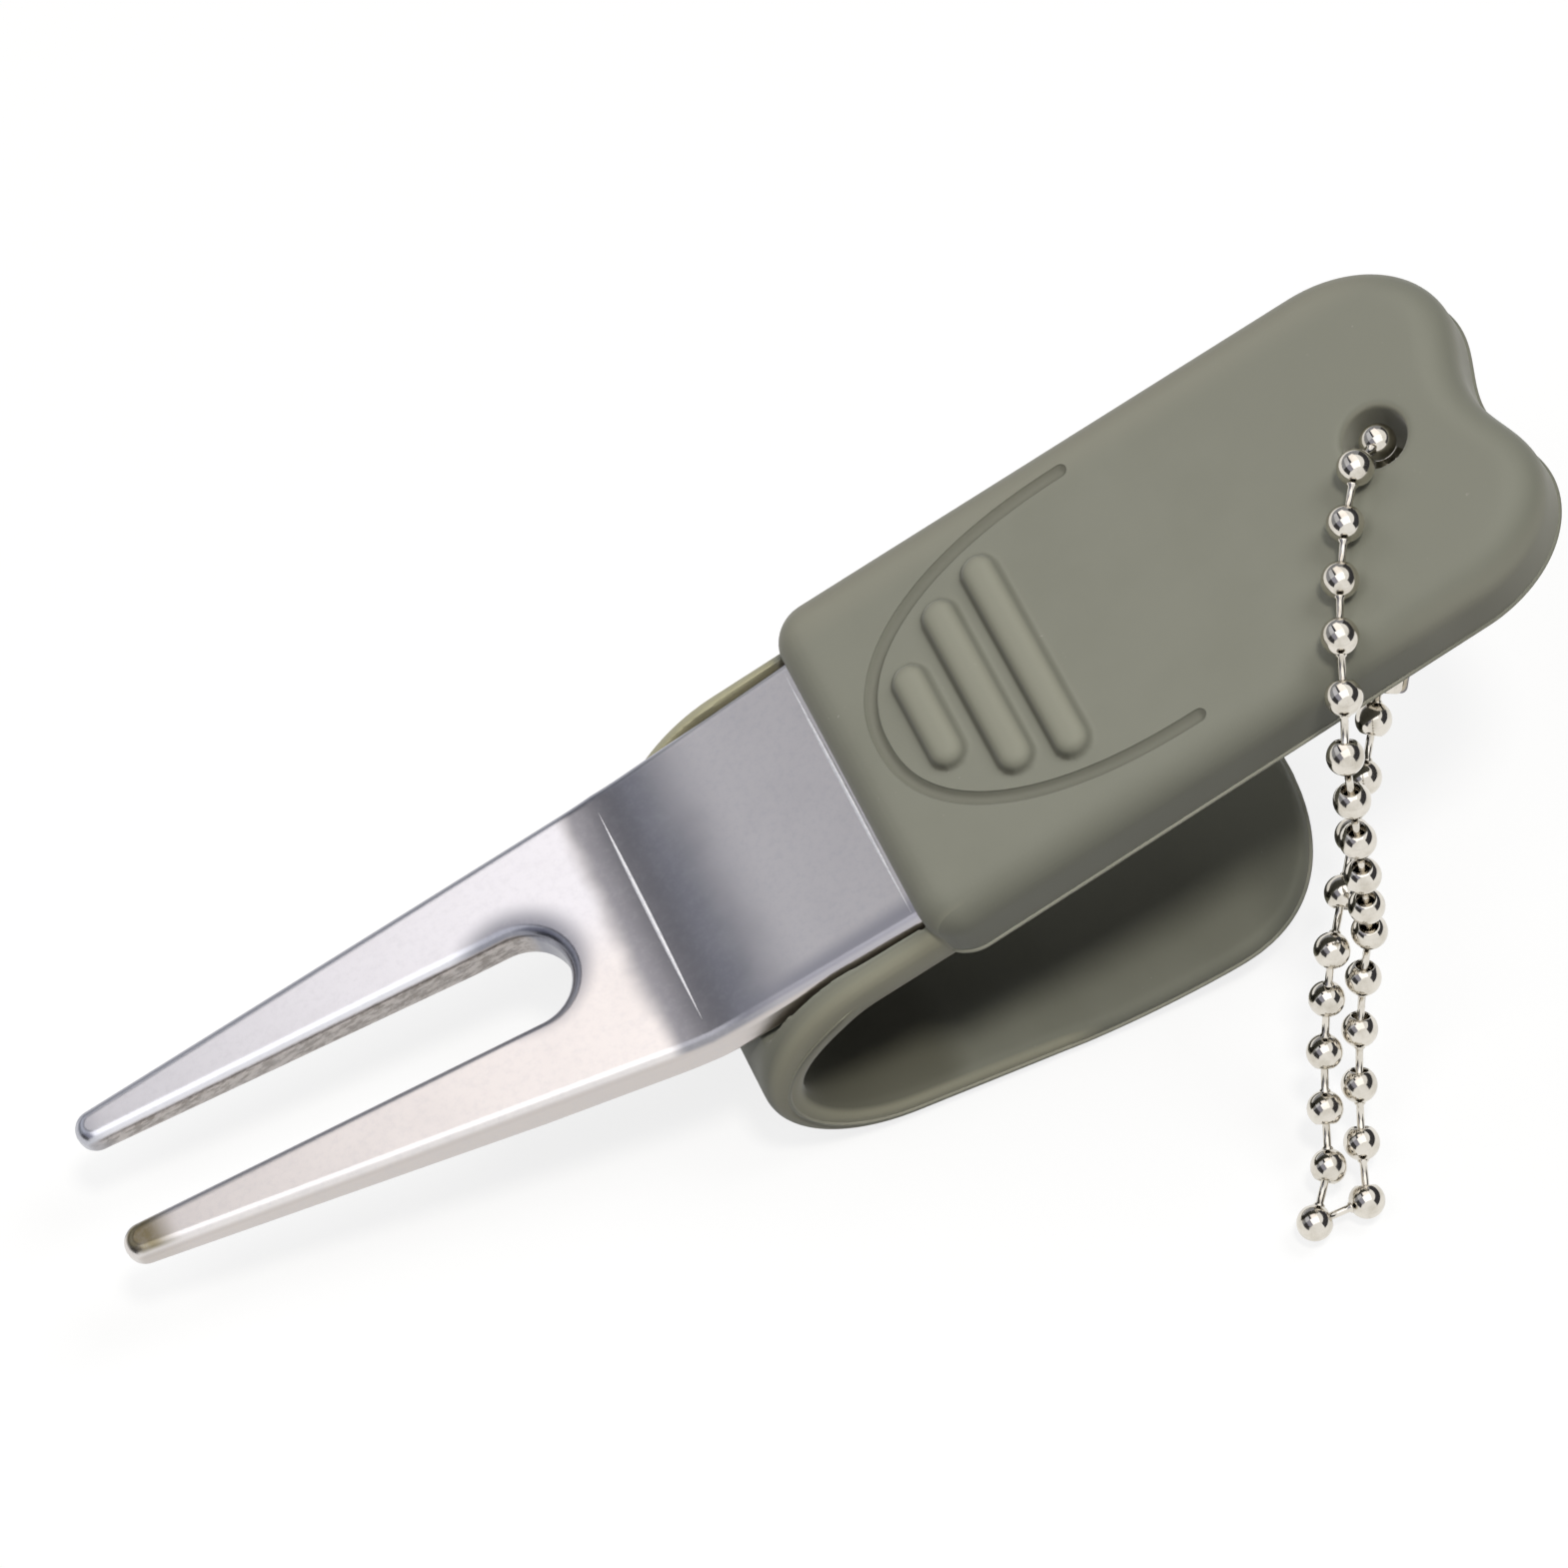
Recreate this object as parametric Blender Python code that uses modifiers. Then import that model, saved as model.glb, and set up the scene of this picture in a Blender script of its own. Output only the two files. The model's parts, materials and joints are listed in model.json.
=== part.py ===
"""Divot repair tool: a steel fork moulded into a rubber grip with a belt clip, and a bead chain loop.

Everything is drawn in the tool's own frame first: X runs to the tail, Y to the far side, Z out of
the handle's face, with the fork's top face at z = 0 where it leaves the handle.  The last step
stands the tool on the flat of its clip.
"""
import math

import bmesh
import bpy
import numpy as np
from mathutils import Matrix, Vector

MM = 0.001
CLEARANCE = 0.3 * MM

# fork
FORK_THICK = 3.2 * MM
FORK_TIP_THICK = 2.1 * MM
FORK_MOUTH_HALF = 10.7 * MM
FORK_BEND_HALF = 10.15 * MM
FORK_BEND_X = -15.2 * MM
FORK_BEND_ANGLE = math.radians(12.6)
FORK_BEND_RADIUS = 24.0 * MM
TINE_LENGTH = 39.1 * MM
TINE_TAPER_START = 11.8 * MM
TINE_TIP_OUTER = 5.75 * MM
SLOT_HALF = 3.18 * MM
SLOT_START = 6.0 * MM
FORK_EDGE = 0.5 * MM
TANG_HALF = 8.0 * MM
TANG_END = 22.0 * MM
TANG_CORNER = 1.5 * MM
SHOULDER_X = 5.0 * MM
PEG_HOLE_RADIUS = 2.0 * MM
PEG_HOLE_X = (10.0 * MM, 16.5 * MM)

# handle block
HANDLE_HALF = 13.15 * MM
HANDLE_TAIL_HALF = 12.75 * MM
HANDLE_FACE = 2.23 * MM
HANDLE_BACK = -5.1 * MM
HANDLE_CORNER = 2.75 * MM
HANDLE_EDGE = 2.5 * MM
TAIL_START = 39.5 * MM
TAIL_LENGTH = 47.7 * MM
TAIL_LOBE_Y = 6.1 * MM
TAIL_NOTCH = 1.4 * MM
RIDGE_WIDTH = 0.3 * MM
RIDGE_PROUD = 0.15 * MM

# raised bars, groove and chain hole
BAR_X = (7.0 * MM, 10.65 * MM, 14.2 * MM)
BAR_HALF = (2.8 * MM, 5.65 * MM, 6.85 * MM)
BAR_WIDTH = 2.4 * MM
BAR_HEIGHT = 1.0 * MM
BAR_EDGE = 0.95 * MM
BAR_ROOT = 1.1 * MM
GROOVE_RADIUS = 0.5 * MM
GROOVE_DEPTH = 0.38 * MM
GROOVE_FRONT = 3.5 * MM
GROOVE_END = 21.8 * MM
GROOVE_HALF = 10.1 * MM
GROOVE_SQUARENESS = 2.25
HOLE_X = 39.83 * MM
HOLE_RADIUS = 2.1 * MM
HOLE_LIP = 0.45 * MM

# belt clip
CLIP_HALF = 12.1 * MM
CLIP_ROOT_X = 5.0 * MM
CLIP_ROOT_TOP = -0.1 * MM
CLIP_ROOT_THICK = 4.8 * MM
CURL_X = -5.3 * MM
CURL_RADIUS = 10.5 * MM
CLIP_ANGLE = math.radians(22.0)
CURL_THIN_FROM = math.radians(112.0)
CURL_THIN_TO = math.radians(178.0)
CURL_THICK = 2.5 * MM
TONGUE_FLAT = 10.5 * MM
TONGUE_ARC_RADIUS = 45.0 * MM
TONGUE_END_X = 22.6 * MM
TONGUE_ROUND_X = 12.5 * MM
TONGUE_THICK = 2.1 * MM
TONGUE_SQUARENESS = 2.5
CLIP_CORNER_SHARE = 0.4

# bead chain
BEAD_RADIUS = 1.2 * MM
BEAD_WALL = 0.24 * MM
BEAD_PITCH = 3.75 * MM
SOCKET_RADIUS = 0.68 * MM
WIRE_RADIUS = 0.22 * MM
WIRE_HEAD = 0.70 * MM
WIRE_SINK = 0.16 * MM
BEAD_STEPS = 10
WIRE_STEPS = 6
MOUTH_SINK = 0.98 * MM
STRAND_ANGLES = (42.0, 38.0, 33.0, 28.0, 29.0, 38.0)
EDGE_DIPS = (16.0, 34.0)
ROW_GAP = 0.28 * MM
ROW_STAGGER = 1.35 * MM
ROW_COUNT = 6
ROW_ACROSS = (0.81, -0.26, -0.48)
ROW_FIRST_WAY = (-1.65, -1.32, -3.16)
ROW_LAST_WAY = (-1.91, -3.05, -0.92)
FRONT_DROP_LINKS = 5
FRONT_TAUT = 0.9925
REAR_DROP_LINKS = 8
REAR_TAUT = 0.9916
LOOP_LEAN = math.radians(-8.25)
CLASP_WALL = 0.3 * MM
CLASP_LIP = 0.8 * MM
CLASP_SEAM = 0.9 * MM
CLASP_STEPS = 12
CLASP_AT = 3


for old in list(bpy.data.objects):
    bpy.data.objects.remove(old, do_unlink=True)

PARTS = bpy.data.collections.new("divot_repair_tool")
HELPERS = bpy.data.collections.new("cutters")
for group in (PARTS, HELPERS):
    bpy.context.scene.collection.children.link(group)


def material(name, color, metallic, roughness):
    """A plain Principled material with its three main values set."""
    made = bpy.data.materials.new(name)
    made.use_nodes = True
    shader = made.node_tree.nodes["Principled BSDF"]
    shader.inputs["Base Color"].default_value = (*color, 1.0)
    shader.inputs["Metallic"].default_value = metallic
    shader.inputs["Roughness"].default_value = roughness
    return made


STEEL = material("satin_steel", (0.62, 0.61, 0.60), 1.0, 0.35)
RUBBER = material("olive_rubber", (0.24, 0.235, 0.195), 0.0, 0.65)
NICKEL = material("nickel_chain", (0.75, 0.74, 0.72), 1.0, 0.15)


def part(name, mesh, look):
    """A finished sub-part, in the object's own collection."""
    made = bpy.data.objects.new(name, mesh)
    made.data.materials.clear()
    made.data.materials.append(look)
    PARTS.objects.link(made)
    return made


def helper(name, mesh):
    """A hidden operand of a Boolean."""
    made = bpy.data.objects.new(name, mesh)
    made.hide_render = True
    made.display_type = "WIRE"
    HELPERS.objects.link(made)
    return made


def combine(target, operand, operation):
    """Adds one exact Boolean to the target's stack."""
    step = target.modifiers.new(operation.lower() + "_" + operand.name, "BOOLEAN")
    step.operation = operation
    step.solver = "EXACT"
    step.object = operand


def round_edges(target, width, segments, angle=math.radians(35.0)):
    """Rounds every edge sharper than the angle."""
    step = target.modifiers.new("edges", "BEVEL")
    step.width = width
    step.segments = segments
    step.limit_method = "ANGLE"
    step.angle_limit = angle


def curve_to_mesh(curve, name):
    """The evaluated curve as a clean mesh."""
    carrier = bpy.data.objects.new(name, curve)
    HELPERS.objects.link(carrier)
    bpy.context.view_layer.update()
    depsgraph = bpy.context.evaluated_depsgraph_get()
    mesh = bpy.data.meshes.new_from_object(carrier.evaluated_get(depsgraph))
    mesh.name = name
    bpy.data.objects.remove(carrier, do_unlink=True)
    work = bmesh.new()
    work.from_mesh(mesh)
    bmesh.ops.remove_doubles(work, verts=work.verts, dist=1e-6)
    bmesh.ops.dissolve_limit(
        work, angle_limit=math.radians(0.5), verts=work.verts, edges=work.edges
    )
    bmesh.ops.recalc_face_normals(work, faces=work.faces)
    work.to_mesh(mesh)
    work.free()
    return mesh


def plate(name, loops, low, high):
    """A flat outline, with any holes as further loops, extruded from low to high."""
    curve = bpy.data.curves.new(name, "CURVE")
    curve.dimensions = "2D"
    curve.fill_mode = "BOTH"
    curve.extrude = (high - low) / 2
    curve.render_resolution_u = 0
    for loop in loops:
        spline = curve.splines.new("POLY")
        spline.points.add(len(loop) - 1)
        for point, (x, y) in zip(spline.points, loop):
            point.co = (x, y, 0.0, 1.0)
        spline.use_cyclic_u = True
    mesh = curve_to_mesh(curve, name)
    mesh.transform(Matrix.Translation((0, 0, (high + low) / 2)))
    return mesh


def profile_mesh(name, points, closed=False):
    """A profile in the XZ plane for the Screw to turn."""
    mesh = bpy.data.meshes.new(name)
    edges = [(i, i + 1) for i in range(len(points) - 1)]
    if closed:
        edges.append((len(points) - 1, 0))
    mesh.from_pydata([(r, 0.0, z) for r, z in points], edges, [])
    return mesh


def turn(target, steps):
    """Turns the target's profile about its own Z axis."""
    step = target.modifiers.new("turn", "SCREW")
    step.steps = steps
    step.render_steps = steps
    step.use_merge_vertices = True
    step.merge_threshold = 1e-6
    step.use_smooth_shade = True


def arc(center, radius, start, end, count):
    """Points of a circular arc, both ends included."""
    turns = np.linspace(start, end, count)
    return [(center[0] + radius * math.cos(a), center[1] + radius * math.sin(a)) for a in turns]


def circle(center, radius, count):
    return arc(center, radius, 0.0, 2 * math.pi * (1 - 1 / count), count)


def mirrored(half):
    """Closes a half outline (y >= 0, tail to nose or nose to tail) over the middle line."""
    back = [(x, -y) for x, y in reversed(half) if y > 1e-9]
    return half + back


# fork: flat outline, then the bend and the thinning of the tines
def fork_half_width(x):
    share = x / FORK_BEND_X
    return FORK_MOUTH_HALF + (FORK_BEND_HALF - FORK_MOUTH_HALF) * share


def fork_outline():
    tip_x = FORK_BEND_X - TINE_LENGTH
    tip_radius = (TINE_TIP_OUTER - SLOT_HALF) / 2
    tip_center = (tip_x + tip_radius, SLOT_HALF + tip_radius)
    slot_center = (FORK_BEND_X - SLOT_START - SLOT_HALF, 0.0)
    half = [(TANG_END, TANG_HALF - TANG_CORNER), (TANG_END - TANG_CORNER, TANG_HALF)]
    half += [(SHOULDER_X, TANG_HALF), (SHOULDER_X, fork_half_width(SHOULDER_X))]
    half += [(FORK_BEND_X, FORK_BEND_HALF)]
    half += arc(tip_center, tip_radius, math.radians(97), math.radians(270), 8)
    half += arc(slot_center, SLOT_HALF, math.radians(90), math.radians(0), 8)
    return mirrored(half)


def bend_fork(mesh):
    """Cuts the plate at its bend and taper, thins the tines and swings them up."""
    arc_length = FORK_BEND_RADIUS * FORK_BEND_ANGLE
    start = FORK_BEND_X + arc_length / 2
    cuts = [start - arc_length * share for share in (0.0, 0.25, 0.5, 0.75, 1.0)]
    cuts += [FORK_BEND_X - TINE_TAPER_START]
    work = bmesh.new()
    work.from_mesh(mesh)
    for x in cuts:
        everything = list(work.verts) + list(work.edges) + list(work.faces)
        bmesh.ops.bisect_plane(
            work, geom=everything, dist=1e-7, plane_co=(x, 0, 0), plane_no=(1, 0, 0)
        )
    for vert in work.verts:
        run = start - vert.co.x
        if run <= 0:
            continue
        taper = (FORK_BEND_X - vert.co.x - TINE_TAPER_START) / (TINE_LENGTH - TINE_TAPER_START)
        taper = max(0.0, min(1.0, taper))
        depth = vert.co.z * (1 + taper * (FORK_TIP_THICK / FORK_THICK - 1))
        angle = min(run / FORK_BEND_RADIUS, FORK_BEND_ANGLE)
        extra = max(0.0, run - arc_length)
        reach = FORK_BEND_RADIUS - depth
        vert.co.x = start - reach * math.sin(angle) - extra * math.cos(angle)
        vert.co.z = FORK_BEND_RADIUS - reach * math.cos(angle) + extra * math.sin(angle)
    work.to_mesh(mesh)
    work.free()


peg_holes = [circle((x, 0.0), PEG_HOLE_RADIUS, 16) for x in PEG_HOLE_X]
fork_mesh = plate("fork", [fork_outline()] + peg_holes, -FORK_THICK, 0.0)
bend_fork(fork_mesh)
fork = part("fork", fork_mesh, STEEL)
round_edges(fork, FORK_EDGE, 2)


# grip: handle block
def handle_outline(grow=0.0):
    """The handle seen on its face, let out all round by a small amount."""
    corner = (HANDLE_CORNER, HANDLE_HALF - HANDLE_CORNER)
    half = arc(corner, HANDLE_CORNER + grow, math.radians(180), math.radians(90), 5)
    for turn_by in np.linspace(90, 0, 9):
        angle = math.radians(turn_by)
        x = TAIL_START + (TAIL_LENGTH + grow - TAIL_START) * math.cos(angle)
        y = TAIL_LOBE_Y + (HANDLE_TAIL_HALF + grow - TAIL_LOBE_Y) * math.sin(angle)
        half.append((x, y))
    for share in np.linspace(0.83, 0.0, 6):
        dip = TAIL_NOTCH * (1 + math.cos(math.pi * share)) / 2
        half.append((TAIL_LENGTH + grow - dip, TAIL_LOBE_Y * share))
    return mirrored(half)


grip = part("grip", plate("grip", [handle_outline()], HANDLE_BACK, HANDLE_FACE), RUBBER)
round_edges(grip, HANDLE_EDGE, 4)
ridge_z = (HANDLE_FACE + HANDLE_BACK) / 2
ridge_loop = handle_outline(RIDGE_PROUD)
ridge_mesh = plate("ridge", [ridge_loop], ridge_z - RIDGE_WIDTH / 2, ridge_z + RIDGE_WIDTH / 2)
combine(grip, helper("ridge", ridge_mesh), "UNION")


# grip: belt clip, lofted along its own line
CURL_Z = CLIP_ROOT_TOP - CURL_RADIUS


def curl_thickness(angle):
    share = (angle - CURL_THIN_FROM) / (CURL_THIN_TO - CURL_THIN_FROM)
    share = max(0.0, min(1.0, share))
    share = share * share * (3 - 2 * share)
    return CLIP_ROOT_THICK + (CURL_THICK - CLIP_ROOT_THICK) * share


def tongue_half_width(x):
    share = max(0.0, (x - TONGUE_ROUND_X) / (TONGUE_END_X - TONGUE_ROUND_X))
    power = TONGUE_SQUARENESS
    return CLIP_HALF * max(0.0, 1 - share ** power) ** (1 / power)


def clip_stations():
    """Outer point, outward direction, thickness and half width, from the root to the free end."""
    stations = []
    for x in (CLIP_ROOT_X, 0.0, CURL_X * 0.5):
        stations.append(((x, CLIP_ROOT_TOP), (0.0, 1.0), CLIP_ROOT_THICK, CLIP_HALF))
    last = math.radians(270) - CLIP_ANGLE
    for angle in np.linspace(math.radians(90), last, 14):
        away = (math.cos(angle), math.sin(angle))
        outer = (CURL_X + CURL_RADIUS * away[0], CURL_Z + CURL_RADIUS * away[1])
        stations.append((outer, away, curl_thickness(angle), CLIP_HALF))
    start = stations[-1][0]
    along = (math.cos(CLIP_ANGLE), -math.sin(CLIP_ANGLE))
    out = (-math.sin(CLIP_ANGLE), -math.cos(CLIP_ANGLE))
    flat_end = (start[0] + TONGUE_FLAT * along[0], start[1] + TONGUE_FLAT * along[1])
    stations.append((flat_end, out, (CURL_THICK + TONGUE_THICK) / 2, CLIP_HALF))
    pivot = (
        flat_end[0] - TONGUE_ARC_RADIUS * out[0],
        flat_end[1] - TONGUE_ARC_RADIUS * out[1],
    )
    last_turn = CLIP_ANGLE + math.asin((TONGUE_END_X - pivot[0]) / TONGUE_ARC_RADIUS)
    for share in (0.25, 0.45, 0.6, 0.72, 0.82, 0.90, 0.955, 0.99):
        lean = CLIP_ANGLE - last_turn * share
        away = (-math.sin(lean), -math.cos(lean))
        outer = (pivot[0] + TONGUE_ARC_RADIUS * away[0], pivot[1] + TONGUE_ARC_RADIUS * away[1])
        stations.append((outer, away, TONGUE_THICK, tongue_half_width(outer[0])))
    return stations


def clip_ring(station):
    """A rounded rectangle across the strap, with the parting ridge on its two sides."""
    (x, z), (away_x, away_z), thick, half = station
    radius = thick * CLIP_CORNER_SHARE
    low = RIDGE_WIDTH / 2 - thick / 2
    high = -RIDGE_WIDTH / 2 - thick / 2
    crest = half + RIDGE_PROUD
    corners = (
        (half - radius, -radius, 0),
        (-half + radius, -radius, 90),
        (-half + radius, -thick + radius, 180),
        (half - radius, -thick + radius, 270),
    )
    section = []
    for side, depth, begin in corners:
        for step in (0, 45, 90):
            angle = math.radians(begin + step)
            section.append((side + radius * math.cos(angle), depth + radius * math.sin(angle)))
        if begin == 90:
            section += [(-half, low), (-crest, -thick / 2), (-half, high)]
    section += [(half, high), (crest, -thick / 2), (half, low)]
    return [(x + away_x * drop, y, z + away_z * drop) for y, drop in section]


def loft(name, rings):
    """Skins equal rings into one closed body."""
    work = bmesh.new()
    made = [[work.verts.new(co) for co in ring] for ring in rings]
    count = len(made[0])
    for near, far in zip(made, made[1:]):
        for i in range(count):
            j = (i + 1) % count
            work.faces.new((near[i], near[j], far[j], far[i]))
    work.faces.new(made[0])
    work.faces.new(made[-1])
    bmesh.ops.recalc_face_normals(work, faces=work.faces)
    mesh = bpy.data.meshes.new(name)
    work.to_mesh(mesh)
    work.free()
    return mesh


clip = helper("clip_strap", loft("clip_strap", [clip_ring(s) for s in clip_stations()]))
combine(grip, clip, "UNION")


# grip: raised bars
def stadium(x, half, radius):
    far = arc((x, half), radius, math.radians(0), math.radians(180), 9)
    near = arc((x, -half), radius, math.radians(180), math.radians(360), 9)
    return far + near


for number, (bar_x, bar_half) in enumerate(zip(BAR_X, BAR_HALF), 1):
    bar_name = f"bar_{number}"
    bar_loop = stadium(bar_x, bar_half, BAR_WIDTH / 2)
    bar_mesh = plate(bar_name, [bar_loop], HANDLE_FACE - BAR_ROOT, HANDLE_FACE + BAR_HEIGHT)
    bar = helper(bar_name, bar_mesh)
    round_edges(bar, BAR_EDGE, 3)
    combine(grip, bar, "UNION")


# grip: pocket for the fork, with two pegs left standing through its tang
def pocket_outline():
    gap = CLEARANCE
    open_end = FORK_BEND_X - 3 * MM
    half = [(TANG_END + gap, TANG_HALF - TANG_CORNER + gap)]
    half += [(TANG_END - TANG_CORNER + gap, TANG_HALF + gap)]
    half += [(SHOULDER_X + gap, TANG_HALF + gap)]
    half += [(SHOULDER_X + gap, fork_half_width(SHOULDER_X) + gap)]
    half += [(open_end, fork_half_width(open_end) + gap)]
    return mirrored(half)


pegs = [circle((x, 0.0), PEG_HOLE_RADIUS - CLEARANCE, 16) for x in PEG_HOLE_X]
pocket_mesh = plate("pocket", [pocket_outline()] + pegs, -FORK_THICK - CLEARANCE, CLEARANCE)
combine(grip, helper("pocket", pocket_mesh), "DIFFERENCE")


# grip: chain hole with softened lips, and the U shaped groove
def hole_profile():
    over = 0.5 * MM
    top = HANDLE_FACE
    back = HANDLE_BACK
    wide = HOLE_RADIUS + HOLE_LIP
    mid = HOLE_RADIUS + 0.3 * HOLE_LIP
    points = [(0.0, top + over), (wide, top + over), (wide, top - 0.1 * HOLE_LIP)]
    points += [(mid, top - 0.45 * HOLE_LIP), (HOLE_RADIUS, top - 1.2 * HOLE_LIP)]
    points += [(HOLE_RADIUS, back + 1.2 * HOLE_LIP), (mid, back + 0.45 * HOLE_LIP)]
    points += [(wide, back + 0.1 * HOLE_LIP), (wide, back - over), (0.0, back - over)]
    return points


hole = helper("chain_hole", profile_mesh("chain_hole", hole_profile()))
hole.location = (HOLE_X, 0, 0)
turn(hole, 24)
combine(grip, hole, "DIFFERENCE")


def groove_mesh():
    """A round tube along a squared-off U."""
    curve = bpy.data.curves.new("groove", "CURVE")
    curve.dimensions = "3D"
    curve.bevel_depth = GROOVE_RADIUS
    curve.bevel_resolution = 1
    curve.use_fill_caps = True
    curve.render_resolution_u = 0
    spline = curve.splines.new("POLY")
    turns = np.linspace(-math.pi / 2, math.pi / 2, 25)
    spline.points.add(len(turns) - 1)
    height = HANDLE_FACE + GROOVE_RADIUS - GROOVE_DEPTH
    power = 2 / GROOVE_SQUARENESS
    for point, angle in zip(spline.points, turns):
        x = GROOVE_END - (GROOVE_END - GROOVE_FRONT) * abs(math.cos(angle)) ** power
        y = math.copysign(GROOVE_HALF * abs(math.sin(angle)) ** power, angle)
        point.co = (x, y, height, 1.0)
    return curve_to_mesh(curve, "groove")


combine(grip, helper("groove", groove_mesh()), "DIFFERENCE")


# chain route
def halve(low, high, too_far):
    """Narrows a range down to the value where the test changes."""
    for _ in range(50):
        middle = (low + high) / 2
        if too_far(middle):
            high = middle
        else:
            low = middle
    return (low + high) / 2


def hang(start, end, links, bow_way):
    """Beads one pitch apart from start to end, along a curve bowed just enough to use every link."""

    def place(share, bow):
        return start.lerp(end, share) + bow_way * bow * 4 * share * (1 - share)

    def walk(bow):
        shares = [0.0]
        for _ in range(links):
            here = place(shares[-1], bow)
            low = shares[-1]
            far = halve(low, low + 1.0, lambda s: (place(s, bow) - here).length > BEAD_PITCH)
            shares.append(far)
        return shares

    bow = halve(0.0, 12 * MM, lambda size: walk(size)[-1] < 1.0)
    return [place(share, bow) for share in walk(bow)[1:-1]]


def meet(near, near_reach, far, far_reach, fall, lean):
    """The point at both reaches, hung along fall and swung by lean about the line between."""
    line = far - near
    span = line.length
    line.normalize()
    along = (near_reach ** 2 - far_reach ** 2 + span ** 2) / (2 * span)
    drop = math.sqrt(near_reach ** 2 - along ** 2)
    fall = (fall - line * fall.dot(line)).normalized()
    side = line.cross(fall)
    return near + line * along + (fall * math.cos(lean) + side * math.sin(lean)) * drop


def strand_way(turn_by, dip_by):
    """A direction across the face, dipping below it."""
    angle = math.radians(turn_by)
    dip = math.radians(dip_by)
    level = math.cos(dip)
    return Vector((-math.sin(angle) * level, -math.cos(angle) * level, -math.sin(dip)))


def face_strand(mouth):
    """Beads over the face, which dip once they have passed the start of the rounded edge."""
    on_face = HANDLE_FACE + BEAD_RADIUS + CLEARANCE
    edge_y = HANDLE_EDGE - HANDLE_HALF
    first_reach = math.sqrt(BEAD_PITCH ** 2 - (on_face - mouth.z) ** 2)
    beads = [mouth + strand_way(STRAND_ANGLES[0], 0.0) * first_reach]
    beads[0].z = on_face
    for turn_by in STRAND_ANGLES[1:]:
        past = sum(bead.y < edge_y for bead in beads)
        dip_by = EDGE_DIPS[min(past, len(EDGE_DIPS)) - 1] if past else 0.0
        beads.append(beads[-1] + strand_way(turn_by, dip_by) * BEAD_PITCH)
    return beads


ACROSS = Vector(ROW_ACROSS).normalized()


def row_way(row):
    """The way the two rows run at a row, square to the line across them."""
    way = Vector(ROW_FIRST_WAY).lerp(Vector(ROW_LAST_WAY), row / (ROW_COUNT - 2))
    return (way - ACROSS * way.dot(ACROSS)).normalized()


# beads that lie further along than their neighbours nest a little closer
ROW_LAG = min(ROW_STAGGER, BEAD_PITCH - ROW_STAGGER)
ROW_APART = math.sqrt((2 * BEAD_RADIUS + ROW_GAP) ** 2 - ROW_LAG ** 2)
ROW_SHIFT = row_way(0) * ROW_STAGGER - ACROSS * ROW_APART


def chain_rows(start):
    """The two strands side by side, from the crossing down to the bead that closes the loop."""
    right = [start]
    left = [start + ROW_SHIFT]
    for row in range(ROW_COUNT - 1):
        right.append(right[-1] + row_way(row) * BEAD_PITCH)
    for row in range(ROW_COUNT - 2):
        left.append(left[-1] + row_way(row + ROW_STAGGER / BEAD_PITCH) * BEAD_PITCH)
    span = right[-1] - left[-1]
    reach = math.sqrt(BEAD_PITCH ** 2 - span.length_squared / 4)
    out = row_way(ROW_COUNT - 2)
    out = (out - span * out.dot(span) / span.length_squared).normalized()
    left.append((right[-1] + left[-1]) / 2 + out * reach)
    return right, left


front_mouth = Vector((HOLE_X, 0, HANDLE_FACE - MOUTH_SINK))
mid_bead = front_mouth - Vector((0, 0, BEAD_PITCH))
back_mouth = mid_bead - Vector((0, 0, BEAD_PITCH))
face_beads = face_strand(front_mouth)
outward = Vector((-0.3, -1.0, 0.0)).normalized()
down = Vector((-math.sin(CLIP_ANGLE), 0.0, -math.cos(CLIP_ANGLE)))
front_reach = FRONT_DROP_LINKS * BEAD_PITCH * FRONT_TAUT
rear_reach = REAR_DROP_LINKS * BEAD_PITCH * REAR_TAUT
crossing = meet(
    face_beads[-1], front_reach, back_mouth - ROW_SHIFT, rear_reach, down, LOOP_LEAN
)
right_row, left_row = chain_rows(crossing)
front = [front_mouth] + face_beads
front += hang(face_beads[-1], right_row[0], FRONT_DROP_LINKS, outward)
rear = [back_mouth] + hang(back_mouth, left_row[0], REAR_DROP_LINKS, down)


# chain: hollow beads with a socket, joined by a headed wire fused to the bead before
def bead_profile():
    inner = BEAD_RADIUS - BEAD_WALL
    rim = -math.acos(SOCKET_RADIUS / BEAD_RADIUS)
    lip = -math.acos(SOCKET_RADIUS / inner)
    points = [(0.0, BEAD_RADIUS)]
    for angle in np.linspace(math.radians(60), rim, 5):
        points.append((BEAD_RADIUS * math.cos(angle), BEAD_RADIUS * math.sin(angle)))
    for angle in np.linspace(lip, math.radians(50), 4):
        points.append((inner * math.cos(angle), inner * math.sin(angle)))
    points.append((0.0, inner))
    return points


def wire_profile():
    neck = math.acos(WIRE_RADIUS / WIRE_HEAD)
    points = [(0.0, BEAD_PITCH + WIRE_HEAD)]
    for angle in np.linspace(math.radians(50), -neck, 4):
        points.append((WIRE_HEAD * math.cos(angle), BEAD_PITCH + WIRE_HEAD * math.sin(angle)))
    root = BEAD_RADIUS - WIRE_SINK
    points += [(WIRE_RADIUS, root), (0.0, root)]
    return points


BEAD_MESH = profile_mesh("bead", bead_profile())
WIRE_MESH = profile_mesh("wire", wire_profile())


def aim(target, place, direction):
    """Puts the target at a place with its Z axis along a direction."""
    target.location = place
    target.rotation_mode = "QUATERNION"
    target.rotation_quaternion = direction.to_track_quat("Z", "Y")


def link(name, place, behind, ahead):
    """One chain link: a bead whose socket looks at the bead behind, and a wire to the bead ahead."""
    made = part(name, BEAD_MESH, NICKEL)
    turn(made, BEAD_STEPS)
    aim(made, place, place - behind)
    if ahead is None:
        return
    wire = helper(name + "_wire", WIRE_MESH)
    turn(wire, WIRE_STEPS)
    aim(wire, place, ahead - place)
    combine(made, wire, "UNION")


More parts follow.
